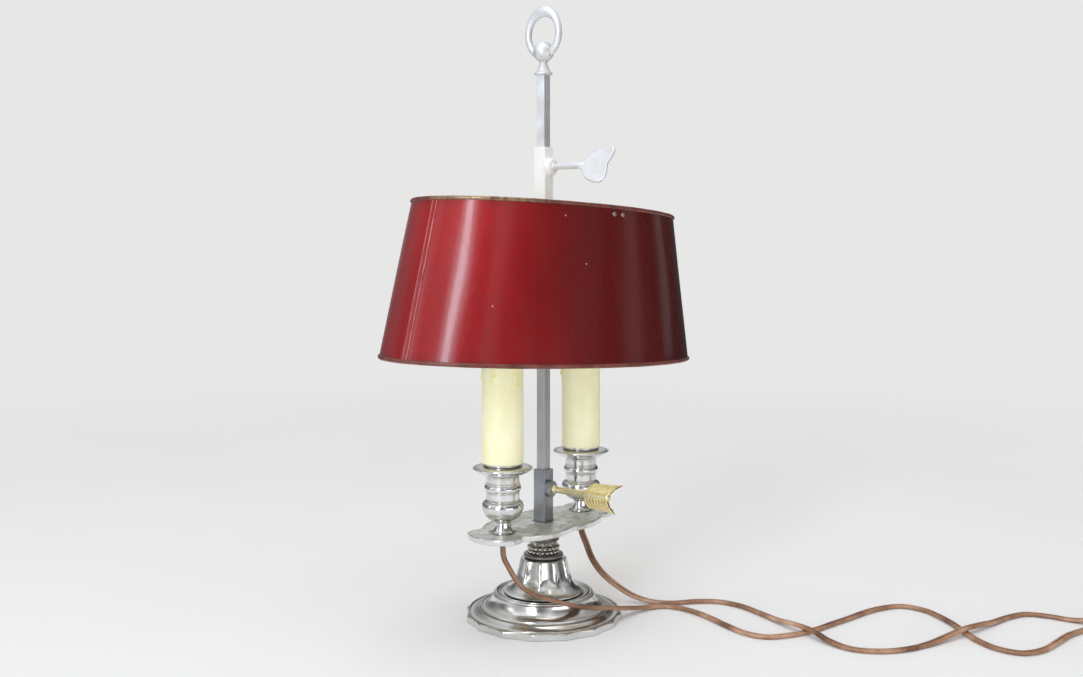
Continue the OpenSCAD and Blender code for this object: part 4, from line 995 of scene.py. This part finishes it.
# %% Arrow
def feather(side, barbs, depth):
    """Half a feather as a closed ring of rows round its section. At share s out from the shaft and
    t along it the point is (1-t) front(s) + t tail(s); its half thickness is 0.75 (1 - 0.6 s^2),
    less depth times the groove between the ridges, |sin(pi barbs t)| to the power 0.4 being the
    ridge."""
    s = np.linspace(0, 1, 26)
    t = np.linspace(0, 1, 20 * barbs + 1)
    front = coords(39.5 + 2.6 * s + 4.6 * s ** 2, 1.4 + 8.5 * s ** 0.85)[:, None, :]
    tail = coords(61.8 + 2.4 * s + 7.6 * s ** 2, 1.4 + 10.0 * s ** 0.9)[:, None, :]
    net = front * (1 - t)[:, None] + tail * t[:, None]
    s = s[:, None]
    net[..., 1] -= 0.5 * np.sin(math.pi * t) * s
    groove = (1 - np.abs(np.sin(math.pi * barbs * t)) ** 0.4) * clamp(s / 0.12)
    net[..., 1] -= 0.55 * groove * clamp((s - 0.8) / 0.2)
    thick = 0.75 * (1 - 0.6 * s ** 2) - depth * groove * 0.75
    thick = thick * np.sqrt(np.maximum(1 - clamp((s - 0.96) / 0.04) ** 2, 0.02))
    face, back = (coords(net[..., 0], up * thick, side * net[..., 1]) for up in (1, -1))
    section = np.concatenate([face, back[::-1]], 0).transpose(1, 0, 2)
    marks = np.concatenate([groove, groove[::-1]], 0).T
    return pointing(capped(section), *ARROW_AT), False, np.vstack([marks[:1], marks, marks[-1:]])


shaft = joined(
    [[BOSS, 0], [BOSS, 2.9], [BOSS + 0.5, 3.2], [BOSS + 1.4, 3.2], [BOSS + 1.8, 2.9],
     [BOSS + 1.9, 2.4], [38, 2.55], [40, 2.7], [61.4, 2.85], [62.4, 2.5], [62.9, 1.8],
     [63.0, 0]], ring=False)
made("arrow_clamp", "arrow", pale_gold, "arrow_screw", (pointing(spun(shaft), *ARROW_AT), False),
     feather(1, 9, 0.50), feather(-1, 8, 0.72), sharp=40)

# %% [markdown]
# ### The wing key
# The shade's own clamp screw ends in a flat wing with two lobes and a dip between them. The
# outline is drawn once and both faces shrink it towards its middle, row by row, while the edge is
# rounded and the faces are very slightly dished.

# %% Wing key
half_key = joined(
    bend([33.5, 2.2], [38.0, 3.0], [40.6, 7.0], 8),
    bend([41.2, 8.0], [44.6, 13.0], [49.6, 14.8], 10),
    bend([50.5, 15.0], [59.6, 19.4], [62.6, 14.4], 12),
    bend([63.6, 12.0], [63.2, 6.4], [61.2, 0], 12), step=0.5, ring=False)
outline = np.vstack([half_key, (half_key * [1, -1])[-2::-1]])
heart = np.array([51.0, 0.0])
rows = [(0.0, 0.82), (0.5, 0.80), (0.8, 0.9), (0.9, 1.02), (0.955, 1.0), (0.98, 0.8),
        (0.995, 0.45), (1.0, 0.0)]
rows += [(share, -thick) for share, thick in rows[-2::-1]]
wing = np.stack(
    [np.insert(heart + (outline - heart) * share, 1, thick, 1) for share, thick in rows])
rod = joined(
    [[BOSS, 0], [BOSS, 3.0], [BOSS + 0.5, 3.4], [BOSS + 1.5, 3.4], [BOSS + 1.9, 3.0],
     [BOSS + 2.0, 2.5], [32, 2.5], [36, 2.2], [40.5, 1.3], [41.0, 0]], ring=False)
made("wing_key", "key", satin_silver, "key_screw", (pointing(wing, *KEY_AT), False),
     (pointing(spun(rod), *KEY_AT), False), sharp=45)

# %% [markdown]
# ## The shade
# The shade is sheet metal bent to an oval cone, joined with a flat lock seam at either end, and
# rolled over a wire at both rims. It leans a little. Its point at angle a and height h is (A cos
# a, B sin a, h), where both half widths shrink evenly with height. A real sheet isn't quite true,
# so a few tenths of a millimetre of slow waves let the reflections wander.

# %% The leaning oval
LOW, SHADE_H, SHEET = 201.3, 112.8, 0.8
LOW_X, LOW_Y, HIGH_X, HIGH_Y = 149.5, 92.3, 125.3, 81.5
lean = math.radians(2.7)
axis = np.array([math.cos(math.radians(79)), math.sin(math.radians(79)), 0])
print("lower rim", 2 * LOW_X, "by", 2 * LOW_Y, "mm, upper", 2 * HIGH_X, "by", 2 * HIGH_Y, "mm")


def leaning(grid):
    """Turned by the lean l about a level line k under the shade:
    p cos l + (k x p) sin l + k (k.p)(1 - cos l)."""
    p = grid - [0, 0, LOW]
    return (p * math.cos(lean) + np.cross(axis, p) * math.sin(lean)
            + axis * (p @ axis)[..., None] * (1 - math.cos(lean)) + [0, 0, LOW])


def half_widths(h):
    """Half the oval's length and width at height h above the lower rim."""
    return LOW_X + (HIGH_X - LOW_X) * h / SHADE_H, LOW_Y + (HIGH_Y - LOW_Y) * h / SHADE_H


def oval(a, h, inward=0.0):
    """Point on the shade at angle a and height h above its lower rim, drawn in by inward."""
    x, y = (half - inward for half in half_widths(h))
    return coords(x * np.cos(a), y * np.sin(a), LOW + h)


# %% Slow dents
def wavy(a, h, inward=0.0):
    """The same point with the sheet's slow dents, in millimetres, none at the rims and seams."""
    u = h / SHADE_H
    slow = (0.16 * np.sin(5 * a + 2.2 * u) + 0.12 * np.sin(9 * a - 3.1 * u + 1.0)
            + 0.07 * np.sin(17 * a + 4.0 * u))
    slow = slow * np.sin(math.pi * clamp(u)) ** 0.7 * clamp(np.abs(np.sin(a)) * 4)
    return oval(a, h, inward) + slow[:, None] * coords(np.cos(a), np.sin(a), 0)


# %% [markdown]
# The lacquer is a deep red under a glossy coat. Its colour shifts between a brighter and a browner
# red in slow upright clouds, and towards the lamp's right it is painted darker and browner, as
# painted shade. It has fine crazing and dust, darker dirt by the rims, small pale chips, and rubbed
# lines along the folds of the seam. Inside, the sheet is painted cream.

# %% Lacquer
net = Finish(
    "red_lacquer", "shade_paint", Specular_IOR_Level=0.22, Coat_Weight=0.70, Coat_Roughness=0.13)
tone = net.ramp(
    net.grain(9, 5, stretch=(1, 1, 0.45)), (0.30, srgb(119, 9, 14)),
    (0.50, srgb(140, 12, 18)), (0.72, srgb(162, 18, 22)))
painted_shade_right = net.times(net.plus(net.dot(net.place, ALONG), 0.045), 6.0)
mottle = net.ramp(net.grain(120, 6, 0.7), (0.35, 0.0), (0.75, 0.22))
rim_dirt = net.times(net.mark("rim"), net.ramp(net.grain(45, 5), (0.35, 0.1), (0.7, 0.8)))
rubbed = net.times(net.mark("fold"), net.ramp(net.grain(90, 5, 0.7), (0.30, 0.25), (0.62, 1.0)))
dust = net.ramp(net.grain(900, 2, 0.5), (0.72, 0.0), (0.78, 0.25))
cells = net.add("TexVoronoi", {"Vector": net.place, "Scale": 130.0}).outputs["Distance"]
few = net.ramp(net.grain(26, 2, 0.5), (0.63, 0.0), (0.64, 1.0))
chips = net.times(net.ramp(cells, (0.05, 1.0), (0.085, 0.0)), few)
# painted shade: towards the lamp's right the red is coloured darker and browner
for share, colour in ((net.ramp(painted_shade_right, (0.0, 0.0), (0.45, 0.62), (0.95, 0.97)), srgb(54, 9, 5)),
                      (mottle, srgb(98, 10, 14)), (rim_dirt, srgb(70, 20, 16)),
                      (rubbed, srgb(196, 132, 132)), (dust, srgb(188, 92, 92)),
                      (chips, srgb(196, 158, 146))):
    tone = net.mixed(share, tone, colour)
streaks = net.grain(60, 5, 0.7, stretch=(1, 1, 0.06))
haze = net.plus(net.ramp(streaks, (0.3, 0.16), (0.7, 0.30)), net.times(mottle, 0.5))
height = net.plus(net.times(streaks, 0.5), net.times(net.grain(420, 4, 0.6), 0.35))
height = net.math("SUBTRACT", height, net.times(chips, 0.5), clamp=True)
red_lacquer = net.wears(tone, haze, (height, 0.10, 0.0006))

net = Finish("cream_lining", Coat_Weight=0.1, Coat_Roughness=0.3)
cream_lining = net.wears(
    net.ramp(net.grain(22, 6, 0.6), (0.3, srgb(214, 202, 170)),
             (0.55, srgb(232, 224, 200)), (0.78, srgb(240, 234, 214))),
    net.ramp(net.grain(140), (0.3, 0.38), (0.7, 0.58)), (net.grain(300), 0.15, 0.0005))

# %% Sheet of the shade
a = round_angles(360)
heights = np.linspace(0.9, SHADE_H - 0.9, 44)
grid = np.stack([wavy(a, h) for h in heights] + [wavy(a, h, SHEET) for h in heights[::-1]])
to_rim = np.minimum(heights, SHADE_H - heights)
by_rim = np.concatenate([np.exp(-to_rim / 3.0), np.zeros(len(heights))])[:, None]
sheet = made(
    "oval_shade", "shade", red_lacquer, "shade_shell", (leaning(grid), True, by_rim),
    sharp=60, mark="rim")
second_finish(sheet, cream_lining, lambda middle, normal: (middle * normal)[:, :2].sum(1) < 0)

# %% [markdown]
# ### Rims and seams
# Each rim is a tube of 1.5 mm radius round the oval, dark red brown and worn to bare metal where
# hands lift the shade. The seams are flat folds, two ridges with a shallow channel between, that
# end short of the rims.

# %% Finish of the rims
net = Finish("worn_rim", "worn_rim")
bare = net.times(net.mark("bare"), net.ramp(net.grain(60, 5, 0.7), (0.40, 0.0), (0.52, 1.0)))
dark = net.ramp(net.grain(130), (0.3, srgb(74, 24, 22)), (0.7, srgb(122, 46, 40)))
metal = net.ramp(net.grain(160), (0.3, srgb(128, 104, 78)), (0.7, srgb(176, 152, 122)))
worn_rim = net.wears(
    net.mixed(bare, dark, metal), net.ramp(net.grain(200, 3), (0.3, 0.28), (0.7, 0.48)),
    (net.grain(500, 3), 0.2, 0.0004), net.times(bare, 0.85))

# %% Rims
b = round_angles(20)[:, None]
for name, h, node, worn_at in (("upper_rim", SHADE_H, "shade_top_wire", 200),
                               ("lower_rim", 0.0, "shade_bottom_wire", 330)):
    long_half, short_half = half_widths(h)
    face = unit(coords(np.cos(a) / long_half, np.sin(a) / short_half, 0))[:, None, :]
    section = np.cos(b) * face + np.sin(b) * [0, 0, 1.0]
    radius = 1.5 + 0.05 * np.sin(7 * a) + 0.04 * np.sin(23 * a)
    tube = leaning(oval(a, h, SHEET / 2)[:, None, :] + radius[:, None, None] * section)
    off = np.abs((np.degrees(a) - worn_at + 180) % 360 - 180)
    made(name, "shade", worn_rim, node, (tube, True, np.clip((34 - off) / 12, 0.12, 1)[:, None]),
         sharp=70, mark="bare")

# %% Seams
SEAM, RIDGE, END = 2.6, 2.05, 1.3                  # half the width, where a ridge stands, the gap
y = np.linspace(-SEAM, SEAM, 40)
ridge = np.abs(np.abs(y) - RIDGE)
lift = 0.22 + 0.62 * np.exp(-(ridge / 0.42) ** 2) + 0.25 * (np.abs(y) < 1.9)
lift = np.append(lift, np.full(12, -0.3))          # the last twelve points lie under the fold
fold = np.append(np.exp(-(ridge / 0.35) ** 2), np.zeros(12))
y = np.append(y, np.linspace(SEAM, -SEAM, 12))
h = np.linspace(END, SHADE_H - END, 50)[:, None]
strips = []
for side in (1, -1):
    x = side * (half_widths(h)[0] + lift * (1 + 0.12 * np.sin(h * 0.35)) - 0.15)
    strip = leaning(coords(x, side * y, LOW + h))
    strips.append((capped(strip), False, fold))
made("lock_seams", "shade", red_lacquer, "shade_seams", *strips, sharp=50, mark="fold")

# %% [markdown]
# ## Hidden and small parts
# The brass fittings under the tray and inside the shade, and the iron weight, washer and felt in
# the base, hardly show. They still get finishes of their own, because the lamp is looked at from
# below and from above as well.

# %% Finishes of the fittings
dull_brass = plate(
    "dull_brass", (0.80, 0.64, 0.34), (0.60, 0.44, 0.20), (0.20, 0.13, 0.06),
    0.26, 0.44, 0.7, slot="brass")
rivet_metal = plate(
    "rivet_metal", (0.44, 0.34, 0.30), (0.30, 0.20, 0.17), (0.08, 0.05, 0.04), 0.28, 0.42, 0.8)
plain_steel = plate(
    "plain_steel", (0.60, 0.60, 0.60), (0.50, 0.48, 0.46), (0.22, 0.18, 0.15), 0.30, 0.46, 0.6)
net = Finish("cast_iron", Metallic=0.7)
iron = net.wears(
    net.ramp(net.grain(90, 6, 0.7), (0.3, (0.045, 0.043, 0.042)),
             (0.7, (0.11, 0.10, 0.095))),
    net.ramp(net.grain(200), (0.3, 0.55), (0.7, 0.8)), (net.grain(350, 6, 0.7), 0.7, 0.001))
net = Finish("green_felt", Roughness=0.95, Sheen_Weight=0.5, Sheen_Roughness=0.4)
fibres = net.grain(1400, 3, 0.7, stretch=(1, 0.35, 1), distortion=0.8)
felt = net.wears(
    net.ramp(fibres, (0.3, srgb(30, 52, 34)), (0.7, srgb(58, 88, 60))),
    relief=(fibres, 0.6, 0.0008))
holder_plastic = moulded("holder_plastic", "holder", srgb(228, 224, 212), 0.34, 0.48)

# %% Hidden and small parts
for finish, names in ((iron, "base_weight"), (felt, "base_felt"), (plain_steel, "base_washer"),
                      (rivet_metal, "spider_rivets"), (nickel, "switch_screws plug_pins"),
                      (holder_plastic, "left_lampholder right_lampholder"),
                      (dull_brass, "base_nut arrow_stud key_stud left_locknut right_locknut "
                                   "left_socket_shell right_socket_shell left_bulb_cap "
                                   "right_bulb_cap")):
    for name in names.split():
        nodes[name].data.materials.clear()
        nodes[name].data.materials.append(finish)
bush = joined(
    [[2.8, 69.2], [5.6, 69.2], [6.2, 69.8], [6.2, 71.6], [5.9, 71.95], [2.8, 71.95]], step=0.5)
pipe = joined([[3.4, 70.4], [5.0, 70.4], [5.0, 130.0], [3.4, 130.0]], step=3.0)
pair("_bush", dull_brass, "_gland", bush, 48, 0, True)
pair("_threaded_tube", dull_brass, "_nipple", pipe, 48, 0, True)
eased("shade_bracket", "shade", dull_brass, "shade_spider", 0.25)
eased("bracket_collar", "shade", dull_brass, "spider_collar", 0.4)

# %% [markdown]
# ## Floor and studio
# The lamp stands on a pale floor that fades into an equally pale surrounding, so there is no hard
# horizon. Polished metal needs something to reflect, so what its reflections see is a studio of
# soft upright lights with greyer gaps between them. Diffuse light comes from all round, a little
# more of it from the left, and the camera sees plain pale grey.

# %% Floor
spread = np.array([6000, 3000, 1600, 800, 300, 0])[:, None]
around = round_angles(96)
disc = coords(spread * np.cos(around), spread * np.sin(around), 0)
floor = surface("floor", (disc, False))
floor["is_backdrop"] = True
net = Finish("pale_floor", Roughness=0.75, Specular_IOR_Level=0.15)
pale_floor = net.wears(
    net.ramp(net.grain(3, 3), (0.3, (0.78, 0.775, 0.765)),
             (0.7, (0.80, 0.795, 0.785))))
reach = net.add("VectorMath", {0: net.place}, operation="LENGTH").outputs["Value"]
fade = net.ramp(net.times(reach, 0.25), (0.15, 0.0), (0.40, 1.0))
clear = net.add("BsdfTransparent").outputs[0]
ends = net.add("MixShader", {0: fade, 1: net.shader.outputs[0], 2: clear}).outputs[0]
net.tree.links.new(ends, net.tree.nodes["Material Output"].inputs["Surface"])
floor.data.materials.append(pale_floor)

# %% [markdown]
# Reflections read their grey from two ramps: one goes round the lamp, from 0 at the way -X over
# -Y, +X and +Y to 1 at -X again, and the other goes up, from 0 straight down to 1 straight up.

# %% Surroundings
scene.world = bpy.data.worlds.new("studio")
scene.world.use_nodes = True
net = Net(scene.world.node_tree)
net.tree.nodes.clear()
way = net.add("TexCoord").outputs["Generated"]
parts = net.add("SeparateXYZ", {0: way}).outputs
bearing = net.math("ARCTAN2", parts["Y"], parts["X"])
share = net.math("MULTIPLY_ADD", bearing, 1 / (2 * math.pi), 0.5)
uprights = net.ramp(
    share, (0.0, 0.42), (0.036, 0.30), (0.094, 0.15), (0.122, 0.18), (0.136, 0.62), (0.160, 0.60),
    (0.178, 0.12), (0.28, 0.08), (0.303, 0.20), (0.331, 0.20), (0.347, 0.06), (0.375, 0.08),
    (0.387, 0.42), (0.400, 0.40), (0.414, 0.03), (0.458, 0.02), (0.480, 0.02), (0.497, 0.03),
    (0.565, 0.08), (0.590, 0.60), (0.630, 0.60), (0.655, 0.30), (0.706, 0.14), (0.789, 0.32),
    (0.831, 0.16), (0.864, 0.34), (0.881, 0.85), (0.912, 0.85), (0.930, 0.50), (0.950, 0.60),
    (0.985, 0.60), (1.0, 0.42))
high = net.math("MULTIPLY_ADD", parts["Z"], 0.5, 0.5)
levels = net.ramp(
    high, (0.40, (0.42, 0.44, 0.47)), (0.50, (0.71, 0.74, 0.78)), (0.60, (0.94, 0.97, 1.0)))
overhead = net.ramp(high, (0.66, 0.0), (0.84, 0.45), (1.0, 0.62))
studio = net.mixed(1.0, net.mixed(1.0, uprights, levels, "MULTIPLY"), overhead, "ADD")
to_left = net.plus(net.dot(way, -0.5 * ALONG), 0.5)
sides = net.ramp(to_left, (0.0, (0.80, 0.80, 0.81)), (1.0, (0.86, 0.86, 0.87)))
even, reflected, backdrop = (
    net.add("Background", {"Color": colour, "Strength": 1.0}).outputs[0]
    for colour in (sides, studio, (0.80, 0.80, 0.795)))
ray = net.add("LightPath").outputs
shiny = net.math("MAXIMUM", ray["Is Glossy Ray"], ray["Is Transmission Ray"], clamp=True)
seen = net.add("MixShader", {0: shiny, 1: even, 2: reflected}).outputs[0]
seen = net.add("MixShader", {0: ray["Is Camera Ray"], 1: seen, 2: backdrop}).outputs[0]
net.add("OutputWorld", {"Surface": seen})
print("studio made")

# %% Lights
TOWARD, RIGHT = -ACROSS, ALONG                     # from the lamp to the camera, and to its right


def softbox(name, bearing, distance, low, high, width, glow, colour=(1, 1, 1)):
    """An upright light at a bearing from the camera's side, in degrees to the right. Its power is
    glow x pi x its area, so that glow is how bright it looks when seen in a mirror."""
    t = math.radians(bearing)
    place = (TOWARD * math.cos(t) + RIGHT * math.sin(t)) * distance
    data = bpy.data.lights.new(name, "AREA")
    data.shape, data.size, data.size_y = "RECTANGLE", width, high - low
    data.energy, data.color = glow * math.pi * width * (high - low), colour
    light = bpy.data.objects.new(name, data)
    light.location = (*place[:2], (low + high) / 2)
    light.rotation_euler = (UPRIGHT, 0, math.atan2(place[1], place[0]) + UPRIGHT)
    scene.collection.objects.link(light)
    return light


softbox("tall_window_left", -26, 1.7, 0.04, 1.75, 0.24, 9.5, (0.80, 0.89, 1.0))
softbox("window_curtains", -26, 1.74, 0.04, 1.75, 0.60, 1.8, (0.86, 0.93, 1.0))
softbox("window_far_left", -78, 1.7, 0.36, 0.90, 0.34, 1.0)
softbox("low_fill", 38, 1.2, 0.02, 0.25, 0.80, 2.6)
softbox("strip_far_right", 126, 1.8, 0.15, 1.30, 0.25, 0.25)
top = softbox("ceiling_light", 20, 0.35, 1.4, 2.5, 1.1, 1.6)
top.location, top.rotation_euler = (-0.15, -0.25, 2.0), (0, 0, CAMERA_TURN)

# %% [markdown]
# ## View settings and size
# Colours are shown plainly, and the dressed lamp's box is printed.

# %% Finish
scene.view_settings.view_transform = "Standard"
low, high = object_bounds()
print("visual box", [round(x, 4) for x in (*low, *high)])
